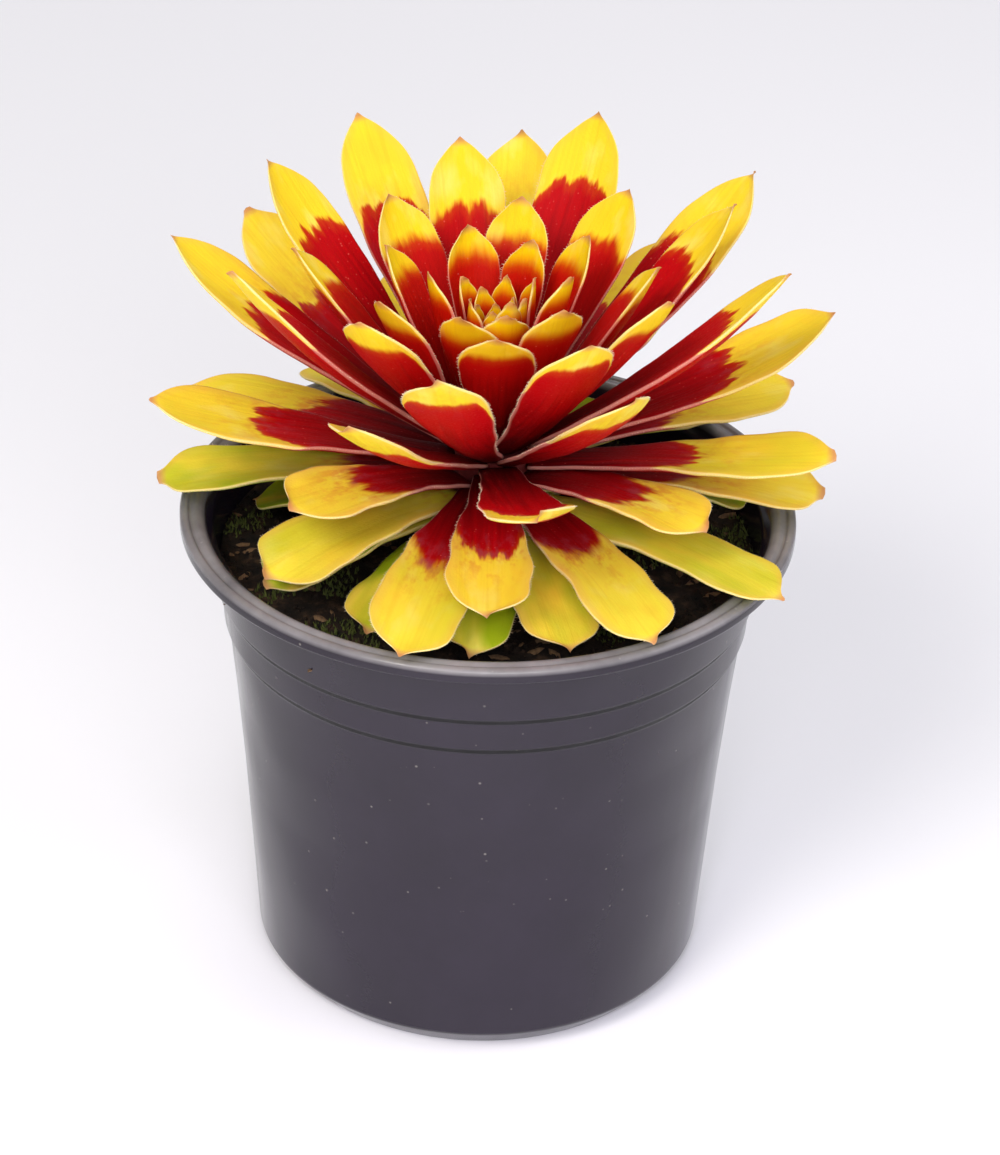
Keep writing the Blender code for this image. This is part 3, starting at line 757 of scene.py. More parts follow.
# %% The outlines
YOUNG_OUTLINE = (
    (0.0, 0.46), (0.22, 0.56), (0.45, 0.80), (0.62, 0.96), (0.73, 1.0), (0.82, 0.95), (0.885, 0.79),
    (0.93, 0.55), (0.963, 0.30), (0.985, 0.11), (1.0, 0.015),
)
OLD_OUTLINE = (
    (0.0, 0.46), (0.22, 0.62), (0.45, 0.87), (0.63, 0.97), (0.77, 1.0), (0.86, 0.97), (0.905, 0.86), (0.934, 0.66),
    (0.953, 0.42), (0.967, 0.22), (0.980, 0.10), (1.0, 0.015),
)


def eased(table, places):
    """A smooth curve through a table's points, with a Hermite cubic between each two."""
    xs, ys = np.array(table).T
    slopes = np.gradient(ys, xs)
    i = np.clip(np.searchsorted(xs, places, side="right") - 1, 0, len(xs) - 2)
    step = xs[i + 1] - xs[i]
    t = (places - xs[i]) / step
    first = (1 + 2 * t) * (1 - t) ** 2 * ys[i] + t * (1 - t) ** 2 * step * slopes[i]
    return first + t * t * (3 - 2 * t) * ys[i + 1] + t * t * (t - 1) * step * slopes[i + 1]


def smooth(value):
    value = np.clip(value, 0.0, 1.0)
    return value * value * (3.0 - 2.0 * value)


# %% [markdown]
# The stem is a straight post up to its shoulder, and then a dome that carries the young leaves. Each leaf starts at
# the stem's skin, so its radius at any height is needed first. A leaf's middle line is one cubic curve, bent by two
# angles: one at its base and one at its tip. That is the fewest numbers that still give a leaf both its lift and
# its droop.

# %% Stem radius and middle line
LINE_POINTS = 49


def stem_radius(height):
    """The stem is straight up to its shoulder, and then a dome that carries the young leaves."""
    share = min(1.0, max(0.0, (height - STEM_SHOULDER_Z) / (STEM_TOP_Z - STEM_SHOULDER_Z)))
    return STEM_TOP_RADIUS + (STEM_RADIUS - STEM_TOP_RADIUS) * math.sqrt(1.0 - share * share)


def midline(out, up, base_bend, tip_bend):
    """A leaf's line, one cubic curve from base to tip: shares walked, distances out, heights, slopes, length."""
    rise = math.atan2(up, out)
    third = math.hypot(out, up) / 3.0
    start = rise + math.radians(base_bend)
    end = rise + math.radians(tip_bend)
    controls = np.array([
        (0.0, 0.0),
        (third * math.cos(start), third * math.sin(start)),
        (out - third * math.cos(end), up - third * math.sin(end)),
        (out, up),
    ])
    t = np.linspace(0.0, 1.0, LINE_POINTS)[:, None]
    weights = np.hstack([(1 - t) ** 3, 3 * t * (1 - t) ** 2, 3 * t * t * (1 - t), t**3])
    points = weights @ controls
    slopes = np.arctan2(np.gradient(points[:, 1]), np.gradient(points[:, 0]))
    walked = np.concatenate([[0.0], np.cumsum(np.hypot(*np.diff(points, axis=0).T))])
    return walked / walked[-1], points[:, 0], points[:, 1], slopes, walked[-1]


# %% [markdown]
# No two leaves of one age are alike, so each draws a few chances: a small turn, width, roll, and place of its tip.
# They come from one generator with a fixed seed, in the order in which the CAD draws them, so the fine leaf gets the
# same ones. The colours draw from a generator of their own for each leaf, so that they can change without moving
# any leaf.

# %% One leaf's sizes
YOUNG_FREEDOM = 0.3
FIRST_COLOUR_SEED = 1000


class Leaf:
    """The sizes and the place of one leaf. The chances are drawn in the CAD's own order, so they fall the same."""

    def __init__(self, number, chance):
        freedom = YOUNG_FREEDOM + (1 - YOUNG_FREEDOM) * min(1.0, number / LEAVES)
        off_azimuth, off_out, off_up = OFF_SPIRAL.get(number, (0.0, 0.0, 0.0))
        self.number = number
        self.azimuth = FIRST_AZIMUTH + GOLDEN_ANGLE * number
        self.azimuth += math.radians(off_azimuth + chance.uniform(-2.5, 2.5) * freedom)
        self.width = at(AGE_WIDTH, number) * (1.0 + chance.uniform(-0.05, 0.05))
        self.thickness = at(AGE_THICKNESS, number)
        self.roll = math.radians(chance.uniform(-3.0, 3.0)) * freedom
        self.base_z = at(AGE_BASE_Z, number)
        out = at(AGE_TIP_RADIUS, number) * (1.0 + chance.uniform(-0.03, 0.03) * freedom) + off_out
        up = at(AGE_TIP_Z, number) + chance.uniform(-0.002, 0.002) * freedom + off_up - self.base_z
        self.base_r = stem_radius(self.base_z) + math.sin(math.atan2(up, out)) * self.thickness / 2
        self.base_r += GAP if number < LEAVES else -STEM_LEAF_ROOT
        self.line = midline(out - self.base_r, up, at(AGE_BASE_BEND, number), at(AGE_TIP_BEND, number))
        self.length = self.line[4]
        own = np.random.default_rng(FIRST_COLOUR_SEED + number)
        self.yellow_mm = YELLOW_OF_ITS_OWN.get(number, at(AGE_YELLOW_MM, number) * own.uniform(0.9, 1.1))
        self.yellow_below_mm = min(self.yellow_mm, at(AGE_YELLOW_BELOW_MM, number) * own.uniform(0.85, 1.15))
        self.green = GREEN_OF_ITS_OWN.get(number, at(AGE_GREEN, number) * own.uniform(0.8, 1.2))
        self.bluntness = at(AGE_BLUNTNESS, number)

    def place(self):
        """Turns the leaf's own axes, out, sideways and up, into the plant's."""
        spot = Vector((self.base_r * math.cos(self.azimuth), self.base_r * math.sin(self.azimuth), self.base_z))
        turn = Matrix.Rotation(self.azimuth, 4, "Z") @ Matrix.Rotation(self.roll, 4, "X")
        return Matrix.Translation(Vector((PLANT_X, PLANT_Y, 0.0)) + spot) @ turn


# %% [markdown]
# A leaf is a skin of rings. Each ring runs over the top of the leaf from one margin to the other, and back
# underneath. Rings lie close together near the tip, where the outline turns quickest, and points lie close together
# near the margins. The flesh is thickest two fifths of the way up, thins to the tip, and hangs more below the
# middle sheet than it stands above it, as a houseleek's does.

# %% Rings, outline and thickness
STATIONS = np.concatenate([
    np.linspace(0.0, 0.70, 30)[:-1], np.linspace(0.70, 0.94, 18)[:-1], np.linspace(0.94, 0.996, 10),
])
ACROSS = np.sin(np.linspace(-math.pi / 2, math.pi / 2, 19))
RING = 2 * len(ACROSS) - 2
NARROWEST = 0.012
BASE_THICKNESS_SHARE = 0.7
TIP_THICKNESS_SHARE = 0.3
MARGIN_THICKNESS = 0.0004
BELLY_SHARE = 0.62
print("leaf skin", len(STATIONS), "rings of", RING, "points")


def ring_places():
    """For each point of a ring, how far across the leaf it is, from -1 to 1, and 1 where it is on the top."""
    across = np.concatenate([ACROSS, ACROSS[-2:0:-1]])[None, :]
    above = np.concatenate([np.ones(len(ACROSS)), np.zeros(len(ACROSS) - 2)])[None, :]
    return across, above


def outline(leaf):
    """Half the leaf's width at each ring, as a share of its widest."""
    young, old = eased(YOUNG_OUTLINE, STATIONS[:, None]), eased(OLD_OUTLINE, STATIONS[:, None])
    return np.maximum(NARROWEST, young + (old - young) * leaf.bluntness)


def flesh_heights(leaf, fullness):
    """How far the skin lies over the middle sheet, and, as a negative height, under it."""
    across, above = ring_places()
    shares = STATIONS[:, None]
    taper = smooth((shares - 0.7) / 0.3)
    swell = np.sin(math.pi * np.minimum(1.0, shares * 1.25))
    body = leaf.thickness * (BASE_THICKNESS_SHARE + (1 - BASE_THICKNESS_SHARE) * swell)
    body = body * (1.0 - (1.0 - TIP_THICKNESS_SHARE) * taper)
    edge = MARGIN_THICKNESS * np.minimum(1.0, fullness * 1.6 + 0.2)
    lens = np.sqrt(np.maximum(0.0, 1.0 - across**2))
    skin = edge + (np.maximum(body, edge) - edge) * lens * np.minimum(1.0, fullness * 2.2)
    skin = np.where(above > 0.5, skin * (1.0 - BELLY_SHARE), -skin * BELLY_SHARE)
    return np.where(np.abs(across) > 0.999, 0.0, skin)


# %% [markdown]
# The rings are then set along the middle line. The skin wraps a little round the plant's axis, so that neighbours
# nest like spoons, and a shallow channel runs up its middle. Old leaves have dried and filled again often, so their
# margins wave and sway more than those of young ones.

# %% The points of a leaf
CHANNEL = 0.0011
SWAY = 0.0005


def weathering(number):
    """How many times more than a young leaf's a leaf's margin waves."""
    return 1.0 + 1.6 * float(smooth((number - 16) / 24))


def leaf_points(leaf):
    """Points in the leaf's own axes, as rings by ring points, and for each its way across and half the width."""
    across, _ = ring_places()
    shares = STATIONS[:, None]
    walked, outs, ups, slopes, _ = leaf.line
    x, z, slope = (np.interp(shares, walked, values) for values in (outs, ups, slopes))
    fullness = outline(leaf)
    half = leaf.width / 2 * fullness
    weathered = weathering(leaf.number)
    wave = 0.012 * np.sin(shares * 17.0 + leaf.number * 1.7) + 0.010 * np.sin(shares * 31.0 + leaf.number * 2.9)
    wave = wave * weathered
    y = half * across * (1.0 + wave * np.sign(across))
    wrapped = np.sin(slope) * y * y / (2.0 * (leaf.base_r + x))
    channel = CHANNEL * smooth(shares / 0.5) * fullness * across**2
    sway = SWAY * weathered * smooth(shares) * across * np.sin(shares * 5.0 + leaf.number * 2.3)
    height = flesh_heights(leaf, fullness) + wrapped + channel + sway
    points = np.stack(np.broadcast_arrays(x - np.sin(slope) * height, y, z + np.cos(slope) * height), -1)
    return points, y, half


# %% [markdown]
# With the points, each leaf keeps measurements that its colour needs, as attributes of three numbers each. "flesh"
# is millimetres across and along, with a number of its own for each leaf. "rim" is millimetres past the red, in
# from the margin and back from the tip. "tone" is its age, the share of its length and its green. "edge" is how far
# the boundary frays and how soft it is. The yellow runs further back down the margins than down the middle, which
# gives the crescents of the photo, and the margin joins the top's yellow to the shorter yellow underneath.

# %% The measurements of a leaf
RUN_BACK_MIDDLE = 0.12
MARGIN_JOIN = 0.88
AGE_OLDEST = 60


def run_back_mm(number):
    """How many millimetres further back the yellow runs at the margins than in the middle."""
    return 1.8 + 6.5 * float(smooth((number - 8) / 22))


def leaf_measurements(leaf, y, half):
    across, above = ring_places()
    shares = STATIONS[:, None]
    mm_across = y * 1000
    mm_along = np.broadcast_to(shares * leaf.length * 1000, y.shape)
    mm_in = (half - np.abs(half * across)) * 1000
    mm_left = (1.0 - shares) * leaf.length * 1000
    run_back = run_back_mm(leaf.number)
    yellow_above = leaf.yellow_mm + run_back * (np.abs(across) ** 3 - RUN_BACK_MIDDLE)
    to_margin = (leaf.yellow_mm + run_back * MARGIN_JOIN - leaf.yellow_below_mm) * np.abs(across) ** 16
    yellow_below = leaf.yellow_below_mm + to_margin
    mm_ripe = np.where(above > 0.5, yellow_above, yellow_below) - mm_left
    fray = at(AGE_FRAY_MM, leaf.number) * np.where(above > 0.5, 1.0, 0.3)
    softness = at(AGE_SOFTNESS_MM, leaf.number)
    green = leaf.green + (1 - above) * 0.35 * smooth((leaf.number - 22) / 20)
    return {
        "edge": (fray + 0 * y, np.full(y.shape, softness), 0 * y),
        "flesh": (mm_across, mm_along, np.full(y.shape, leaf.number * 13.7)),
        "rim": (mm_ripe, mm_in, np.broadcast_to(mm_left, y.shape)),
        "tone": (np.full(y.shape, min(leaf.number, AGE_OLDEST) / AGE_OLDEST), np.broadcast_to(shares, y.shape),
                 np.clip(green, 0, 1.2) + 0 * y),
    }


# %% [markdown]
# Last, the arrays become a mesh: quads between the rings, triangles to the one point at the tip, and one face over
# the base. Living skin is never quite even, so a wide soft noise lifts it here and there by up to a fifth of a
# millimetre. The measurements go on the mesh as named attributes, which the material reads.

# %% From arrays to a mesh
SWELL = 0.00022
SWELLS_PER_METRE = 160.0


def ring_faces(rings, tip_index):
    """Quads between rings, triangles to the tip, and one face over the base."""
    faces = []
    for ring in range(rings - 1):
        low = ring * RING
        for k in range(RING):
            after = (k + 1) % RING
            faces.append((low + k, low + after, low + RING + after, low + RING + k))
    last = (rings - 1) * RING
    faces += [(last + k, last + (k + 1) % RING, tip_index) for k in range(RING)]
    faces.append(tuple(reversed(range(RING))))
    return faces


def wavy(point, seed):
    return SWELL * noise.noise(point * SWELLS_PER_METRE + Vector((seed * 3.1, 0.0, 0.0)))


# %% [markdown]
# One function now makes a whole leaf, wherever its matrix puts it. The tip is one point more than the rings have, so
# it takes the measurements of the last ring's middle, with no millimetres left to go.

# %% One leaf as an object
def keep_measurements(mesh, measured):
    for name, parts in measured.items():
        layer = mesh.attributes.new(name, "FLOAT_VECTOR", "POINT")
        layer.data.foreach_set("vector", np.stack(parts, -1).astype(np.float32).ravel())


def leaf_object(name, leaf, matrix, material):
    points, y, half = leaf_points(leaf)
    measured = leaf_measurements(leaf, y, half)
    walked, outs, ups, _, _ = leaf.line
    tip = np.array([np.interp(1.0, walked, outs), 0.0, np.interp(1.0, walked, ups)])
    flat = points.reshape(-1, 3)
    lifts = [wavy(Vector(p), leaf.number) for p in flat]
    flat = flat + np.array([(0.0, 0.0, lift) for lift in lifts])
    moved = [matrix @ Vector(p) for p in flat] + [matrix @ Vector(tip)]
    made = object_from(name, moved, ring_faces(len(STATIONS), len(flat)), material)
    middle = len(ACROSS) // 2
    ends = {key: [float(np.asarray(part)[-1, middle]) for part in parts] for key, parts in measured.items()}
    ends["rim"][2] = 0.0
    whole = {
        key: [np.append(np.asarray(part).ravel(), ends[key][i]) for i, part in enumerate(parts)]
        for key, parts in measured.items()
    }
    keep_measurements(made.data, whole)
    made.data.shade_smooth()
    return made


# %% [markdown]
# ## Leaf skin
# A houseleek leaf is water-filled flesh under a thin waxy skin. Its red is a stain near the surface that stops in
# ragged tongues, and past it the skin is yellow. So the skin's colour is built in layers, as a painter would: red
# from a base darkened with painted shade to a bright shoulder, yellow beyond a boundary that noise makes ragged,
# green where the leaf is old, then the pale margin and the brown point. All of it reads the leaf's own measurements
# in millimetres, so the pattern follows each leaf however it bends, and every scale below is one over a size in
# millimetres.
#
# The boundary comes first. Its tongues are a noise drawn out along the leaf, about 2.5 mm wide and 12 mm long, that
# moves the boundary to and fro by some millimetres. The edge itself is soft over about 4 mm on a young leaf, 2 mm on
# one in the middle and 5 mm on the oldest.

# %% Leaf skin: measurements and the boundary
leaf_finish, tree = start_material("waxy houseleek skin")
flesh = add(tree, "ShaderNodeAttribute", attribute_name="flesh").outputs["Vector"]
ripe, inward, left = add(tree, "ShaderNodeSeparateXYZ", {
    0: add(tree, "ShaderNodeAttribute", attribute_name="rim").outputs["Vector"]}).outputs
age, share, green = add(tree, "ShaderNodeSeparateXYZ", {
    0: add(tree, "ShaderNodeAttribute", attribute_name="tone").outputs["Vector"]}).outputs

along = add(tree, "ShaderNodeVectorMath", {0: flesh, 1: (0.40, 0.085, 1.0)}, operation="MULTIPLY").outputs[0]
tongues = add(tree, "ShaderNodeTexNoise", {
    "Vector": along, "Scale": 1.0, "Detail": 3.0, "Roughness": 0.55}).outputs["Fac"]
fray, softness, _ = add(tree, "ShaderNodeSeparateXYZ", {
    0: add(tree, "ShaderNodeAttribute", attribute_name="edge").outputs["Vector"]}).outputs
centred = add(tree, "ShaderNodeMath", {0: tongues, 1: 0.5}, operation="SUBTRACT").outputs[0]
frayed = add(tree, "ShaderNodeMath", {0: centred, 1: fray, 2: ripe}, operation="MULTIPLY_ADD").outputs[0]
edge = add(tree, "ShaderNodeMath", {0: frayed, 1: softness}, operation="DIVIDE").outputs[0]
yellowness = add(tree, "ShaderNodeMapRange", {0: edge, 1: -1.0, 2: 1.0}, interpolation_type="SMOOTHSTEP").outputs[0]
halo = add(tree, "ShaderNodeMapRange", {0: frayed, 1: -4.0, 2: 1.2}, interpolation_type="SMOOTHSTEP").outputs[0]

# %% [markdown]
# The red is crimson on the shoulder and a warmer scarlet in the young leaves. Towards the base it is darkened to
# maroon, a painted shade for the base that the leaves above overshadow. Fine dark streaks along the leaf, about a
# millimetre wide, carry the dark up into the bright. Where red meets yellow the two stains overlap, which the eye
# sees as an orange glow, most of all near the heart.

# %% Leaf skin: the red
streak_lines = add(tree, "ShaderNodeVectorMath", {0: flesh, 1: (1.1, 0.035, 1.0)}, operation="MULTIPLY").outputs[0]
streaks = add(tree, "ShaderNodeTexNoise", {"Vector": streak_lines, "Scale": 1.0, "Detail": 2.0}).outputs["Fac"]
# Painted shade: the red darkens to maroon towards the leaf's base, where the leaves above shade it. The streaks are
# the skin's own pattern.
rise = add(tree, "ShaderNodeMath", {0: streaks, 1: 0.55, 2: share}, operation="MULTIPLY_ADD").outputs[0]
depth = add(tree, "ShaderNodeMapRange", {0: rise, 1: 0.36, 2: 0.96}).outputs[0]
crimson = add(tree, "ShaderNodeMix", {
    0: depth, 6: colour("#5f0309"), 7: colour("#b90610")}, data_type="RGBA").outputs[2]
scarlet = add(tree, "ShaderNodeMix", {
    0: depth, 6: colour("#820305"), 7: colour("#be1506")}, data_type="RGBA").outputs[2]
youth = add(tree, "ShaderNodeMapRange", {0: age, 1: 0.04, 2: 0.34, 3: 1.0, 4: 0.0}).outputs[0]
red = add(tree, "ShaderNodeMix", {0: youth, 6: crimson, 7: scarlet}, data_type="RGBA").outputs[2]
ember = add(tree, "ShaderNodeMath", {0: youth, 1: 0.35}, operation="MAXIMUM").outputs[0]
glow = add(tree, "ShaderNodeMath", {0: halo, 1: ember}, operation="MULTIPLY").outputs[0]
red = add(tree, "ShaderNodeMix", {0: glow, 6: red, 7: colour("#e06a08")}, data_type="RGBA").outputs[2]

# Pale glands, like pin pricks about 0.3 mm wide, scattered over the red
grid = add(tree, "ShaderNodeVectorMath", {0: flesh, 1: (0.8, 0.8, 1.0)}, operation="MULTIPLY").outputs[0]
cells = add(tree, "ShaderNodeTexVoronoi", {"Vector": grid, "Scale": 1.0, "Randomness": 1.0})
dots = add(tree, "ShaderNodeMapRange", {0: cells.outputs["Distance"], 1: 0.10, 2: 0.20, 3: 0.5, 4: 0.0}).outputs[0]
where = add(tree, "ShaderNodeMapRange", {0: streaks, 1: 0.50, 2: 0.62}).outputs[0]
pricks = add(tree, "ShaderNodeMath", {0: dots, 1: where}, operation="MULTIPLY").outputs[0]
red = add(tree, "ShaderNodeMix", {0: pricks, 6: red, 7: colour("#e0665c")}, data_type="RGBA").outputs[2]

# %% [markdown]
# The yellow is a clear lemon, paler with age, with warm and pale mottles that are 6 mm and more across. Faint veins
# run along it in the same streaks that darken the red, so that they pass from one colour into the other.

# %% Leaf skin: the yellow
mottle_map = add(tree, "ShaderNodeVectorMath", {0: flesh, 1: (0.16, 0.075, 1.0)}, operation="MULTIPLY").outputs[0]
mottles = add(tree, "ShaderNodeTexNoise", {"Vector": mottle_map, "Scale": 1.0, "Detail": 3.0}).outputs["Fac"]
yellow = add(tree, "ShaderNodeMix", {0: age, 6: colour("#fad30c"), 7: colour("#f8dd48")}, data_type="RGBA").outputs[2]
warm = add(tree, "ShaderNodeMapRange", {0: mottles, 1: 0.52, 2: 0.78, 3: 0.0, 4: 0.42}).outputs[0]
warm = add(tree, "ShaderNodeMath", {0: warm, 1: age}, operation="MULTIPLY").outputs[0]
yellow = add(tree, "ShaderNodeMix", {0: warm, 6: yellow, 7: colour("#ec9a30")}, data_type="RGBA").outputs[2]
pale = add(tree, "ShaderNodeMapRange", {0: mottles, 1: 0.46, 2: 0.26, 3: 0.0, 4: 0.6}).outputs[0]
yellow = add(tree, "ShaderNodeMix", {0: pale, 6: yellow, 7: colour("#fbea7e")}, data_type="RGBA").outputs[2]
veins = add(tree, "ShaderNodeMapRange", {0: streaks, 1: 0.50, 2: 0.66, 3: 0.0, 4: 0.16}).outputs[0]
yellow = add(tree, "ShaderNodeMix", {0: veins, 6: yellow, 7: colour("#dda51c")}, data_type="RGBA").outputs[2]

# %% [markdown]
# On an older leaf the boundary breaks up. The yellow near it is freckled with orange, in spots 1.5 to 3 mm across,
# and the same spots are mauve where they fall on the last of the red.

# %% Leaf skin: freckles by the boundary
freckle_map = add(tree, "ShaderNodeVectorMath", {0: flesh, 1: (0.42, 0.24, 1.7)}, operation="MULTIPLY").outputs[0]
freckles = add(tree, "ShaderNodeTexNoise", {
    "Vector": freckle_map, "Scale": 1.0, "Detail": 3.0, "Roughness": 0.6}).outputs["Fac"]
spots = add(tree, "ShaderNodeMapRange", {0: freckles, 1: 0.47, 2: 0.66}).outputs[0]
close = add(tree, "ShaderNodeMapRange", {0: ripe, 1: 14.0, 2: 0.0, 3: 0.0, 4: 0.95}).outputs[0]
aged = add(tree, "ShaderNodeMapRange", {0: age, 1: 0.35, 2: 0.72}).outputs[0]
spots = add(tree, "ShaderNodeMath", {0: spots, 1: close}, operation="MULTIPLY").outputs[0]
spots = add(tree, "ShaderNodeMath", {0: spots, 1: aged}, operation="MULTIPLY").outputs[0]
yellow = add(tree, "ShaderNodeMix", {0: spots, 6: yellow, 7: colour("#e58a34")}, data_type="RGBA").outputs[2]
bruise = add(tree, "ShaderNodeMapRange", {0: frayed, 1: -9.0, 2: -0.5, 3: 0.0, 4: 0.8}).outputs[0]
bruise = add(tree, "ShaderNodeMath", {0: bruise, 1: spots}, operation="MULTIPLY").outputs[0]
red = add(tree, "ShaderNodeMix", {0: bruise, 6: red, 7: colour("#9a4352")}, data_type="RGBA").outputs[2]

# %% [markdown]
# The lowest leaves are green where the yellow hasn't yet taken over. Their green comes from the law of age, and
# wide patches, about 10 by 20 mm, make it uneven, as leaves yellow unevenly.

# %% Leaf skin: green patches
patches_map = add(tree, "ShaderNodeVectorMath", {0: flesh, 1: (0.10, 0.05, 1.3)}, operation="MULTIPLY").outputs[0]
patches = add(tree, "ShaderNodeTexNoise", {"Vector": patches_map, "Scale": 1.0, "Detail": 2.0}).outputs["Fac"]
uneven = add(tree, "ShaderNodeMapRange", {0: patches, 1: 0.3, 2: 0.7, 3: 0.25, 4: 1.5}).outputs[0]
greenness = add(tree, "ShaderNodeMath", {0: uneven, 1: green}, operation="MULTIPLY", use_clamp=True).outputs[0]
lime = add(tree, "ShaderNodeMix", {
    0: patches, 6: colour("#7f9c12"), 7: colour("#aebb1e")}, data_type="RGBA").outputs[2]
yellow = add(tree, "ShaderNodeMix", {0: greenness, 6: yellow, 7: lime}, data_type="RGBA").outputs[2]

# %% [markdown]
# Round the whole leaf runs a hair-fine pale line, the margin, with a soft orange flush inside it on the older leaves,
# and the hard point at the tip is brownish. The line is drawn about a fifth of a millimetre wide, a little coarser
# than it is, so that it shows. Red and yellow are put together here, under the line and the point.

# %% Leaf skin: margin and tip
flush = add(tree, "ShaderNodeMapRange", {0: inward, 1: 0.2, 2: 2.6, 3: 0.46, 4: 0.0}).outputs[0]
flush = add(tree, "ShaderNodeMath", {0: flush, 1: age}, operation="MULTIPLY").outputs[0]
unripe = add(tree, "ShaderNodeMath", {0: 1.0, 1: greenness}, operation="SUBTRACT").outputs[0]
flush = add(tree, "ShaderNodeMath", {0: flush, 1: unripe}, operation="MULTIPLY").outputs[0]
yellow = add(tree, "ShaderNodeMix", {0: flush, 6: yellow, 7: colour("#eea468")}, data_type="RGBA").outputs[2]
skin = add(tree, "ShaderNodeMix", {0: yellowness, 6: red, 7: yellow}, data_type="RGBA").outputs[2]
hem = add(tree, "ShaderNodeMix", {
    0: yellowness, 6: colour("#e89a8e"), 7: colour("#f9e39c")}, data_type="RGBA").outputs[2]
line = add(tree, "ShaderNodeMapRange", {0: inward, 1: 0.03, 2: 0.24, 3: 0.8, 4: 0.0}).outputs[0]
skin = add(tree, "ShaderNodeMix", {0: line, 6: skin, 7: hem}, data_type="RGBA").outputs[2]
point = add(tree, "ShaderNodeMapRange", {0: left, 1: 0.6, 2: 2.2, 3: 0.8, 4: 0.0}).outputs[0]
skin = add(tree, "ShaderNodeMix", {0: point, 6: skin, 7: colour("#c07a5c")}, data_type="RGBA").outputs[2]

# %% [markdown]
# The wax on the skin is smooth but not wet, and cells of about 0.4 mm break up its gloss. Wax over flesh mirrors
# little, so the specular level is low, and a little light goes in and comes out red, which is the subsurface share.

# %% Leaf skin: wax
cell_map = add(tree, "ShaderNodeVectorMath", {0: flesh, 1: (2.4, 1.5, 1.0)}, operation="MULTIPLY").outputs[0]
cell_noise = add(tree, "ShaderNodeTexNoise", {"Vector": cell_map, "Scale": 1.0, "Detail": 2.0}).outputs["Fac"]
ridges = add(tree, "ShaderNodeMath", {0: streaks, 1: 2.0, 2: cell_noise}, operation="MULTIPLY_ADD").outputs[0]
bump = add(tree, "ShaderNodeBump", {"Height": ridges, "Strength": 0.22, "Distance": 0.0003}).outputs["Normal"]
wax = add(tree, "ShaderNodeMapRange", {0: cell_noise, 1: 0.3, 2: 0.7, 3: 0.42, 4: 0.58}).outputs[0]
surface = add(tree, "ShaderNodeBsdfPrincipled", {
    "Base Color": skin, "Roughness": wax, "IOR": 1.42, "Specular IOR Level": 0.09, "Normal": bump,
    "Subsurface Weight": 0.12, "Subsurface Radius": (1.0, 0.35, 0.12), "Subsurface Scale": 0.0015,
})
add(tree, "ShaderNodeOutputMaterial", {"Surface": surface.outputs["BSDF"]})

# %% [markdown]
# Now all the leaves grow, in the order of their age, and each is held against the box of its CAD leaf. The largest
# difference is printed. It has to stay small, because the fine leaf stands for the plain one.

# %% Grow the leaves
chance = np.random.default_rng(SEED)
leaves = [Leaf(number, chance) for number in range(LEAVES + OLD_LEAVES)]
fine_leaves = []
furthest = 0.0
for leaf in leaves[:LEAVES]:
    made = leaf_object(f"leaf_{leaf.number + 1:02d}_skin", leaf, leaf.place(), leaf_finish)
    fine_leaves.append(made)
    low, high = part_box(f"leaf_{leaf.number + 1:02d}")
    corners = np.array([v.co for v in made.data.vertices])
    furthest = max(furthest, np.abs(corners.min(0) - low).max(), np.abs(corners.max(0) - high).max())
print("leaves", len(fine_leaves), "furthest from its CAD box, mm", round(furthest * 1000, 2))

# %% [markdown]
# ## The heart
# In the middle the youngest leaves still stand upright round the growing point. They are all one leaf at
# different ages, set by the golden angle, which is a rule that Geometry Nodes can hold: one small leaf, instanced
# a few times, with its turn, lean, size and distance worked out from its index. The one leaf is made first, by the
# same functions as the large ones.

# %% One young leaf
class YoungLeaf:
    """A leaf that stands almost straight up, in the form that leaf_object reads."""

    number = 0
    width = 0.0064
    thickness = 0.0011
    base_r = 0.0020
    yellow_mm = 3.8
    yellow_below_mm = 3.3
    green = 0.12
    bluntness = -0.9
    line = midline(0.0034, 0.0258, -14, 14)
    length = line[4]


pattern = leaf_object("young_leaf", YoungLeaf, Matrix.Identity(4), leaf_finish)

# %% [markdown]
# The recipe makes a point for each leaf and works out, from the point's index, how far grown its leaf is. The turn
# is the index times the golden angle, and the lean, the size and the distance from the middle follow the growth.
# Each leaf also gets its index added to its "flesh" measurements, so that no two have the same mottles.

# %% The rosette recipe
rosette, given = start_recipe("Golden-angle rosette", {
    "Leaf": ("NodeSocketObject", None),
    "Leaves": ("NodeSocketInt", 12),
    "Turn": ("NodeSocketFloat", GOLDEN_ANGLE),
    "First Turn": ("NodeSocketFloat", 0.0),
    "Smallest": ("NodeSocketFloat", 0.5),
    "Lean": ("NodeSocketFloat", 0.3),
    "Spread": ("NodeSocketFloat", 0.003),
    "Middle": ("NodeSocketVector", (0.0, 0.0, 0.0)),
    "Finish": ("NodeSocketMaterial", None),
})
spots = add(rosette, "GeometryNodePoints", {"Count": given["Leaves"]})
index = add(rosette, "GeometryNodeInputIndex").outputs[0]
grown = add(rosette, "ShaderNodeMath", {0: index, 1: given["Leaves"]}, operation="DIVIDE").outputs[0]
turn = add(rosette, "ShaderNodeMath", {0: index, 1: given["Turn"], 2: given["First Turn"]}, operation="MULTIPLY_ADD")
lean = add(rosette, "ShaderNodeMath", {0: grown, 1: given["Lean"]}, operation="MULTIPLY")
angles = add(rosette, "ShaderNodeCombineXYZ", {1: lean.outputs[0], 2: turn.outputs[0]})
size = add(rosette, "ShaderNodeMapRange", {0: grown, 1: 0.0, 2: 0.9, 3: given["Smallest"], 4: 1.0})
step_out = add(rosette, "ShaderNodeMath", {0: grown, 1: given["Spread"]}, operation="MULTIPLY")
out = add(rosette, "ShaderNodeCombineXYZ", {0: step_out.outputs[0]})
turned_out = add(rosette, "ShaderNodeVectorRotate", {
    "Vector": out.outputs[0], "Angle": turn.outputs[0]}, rotation_type="Z_AXIS")
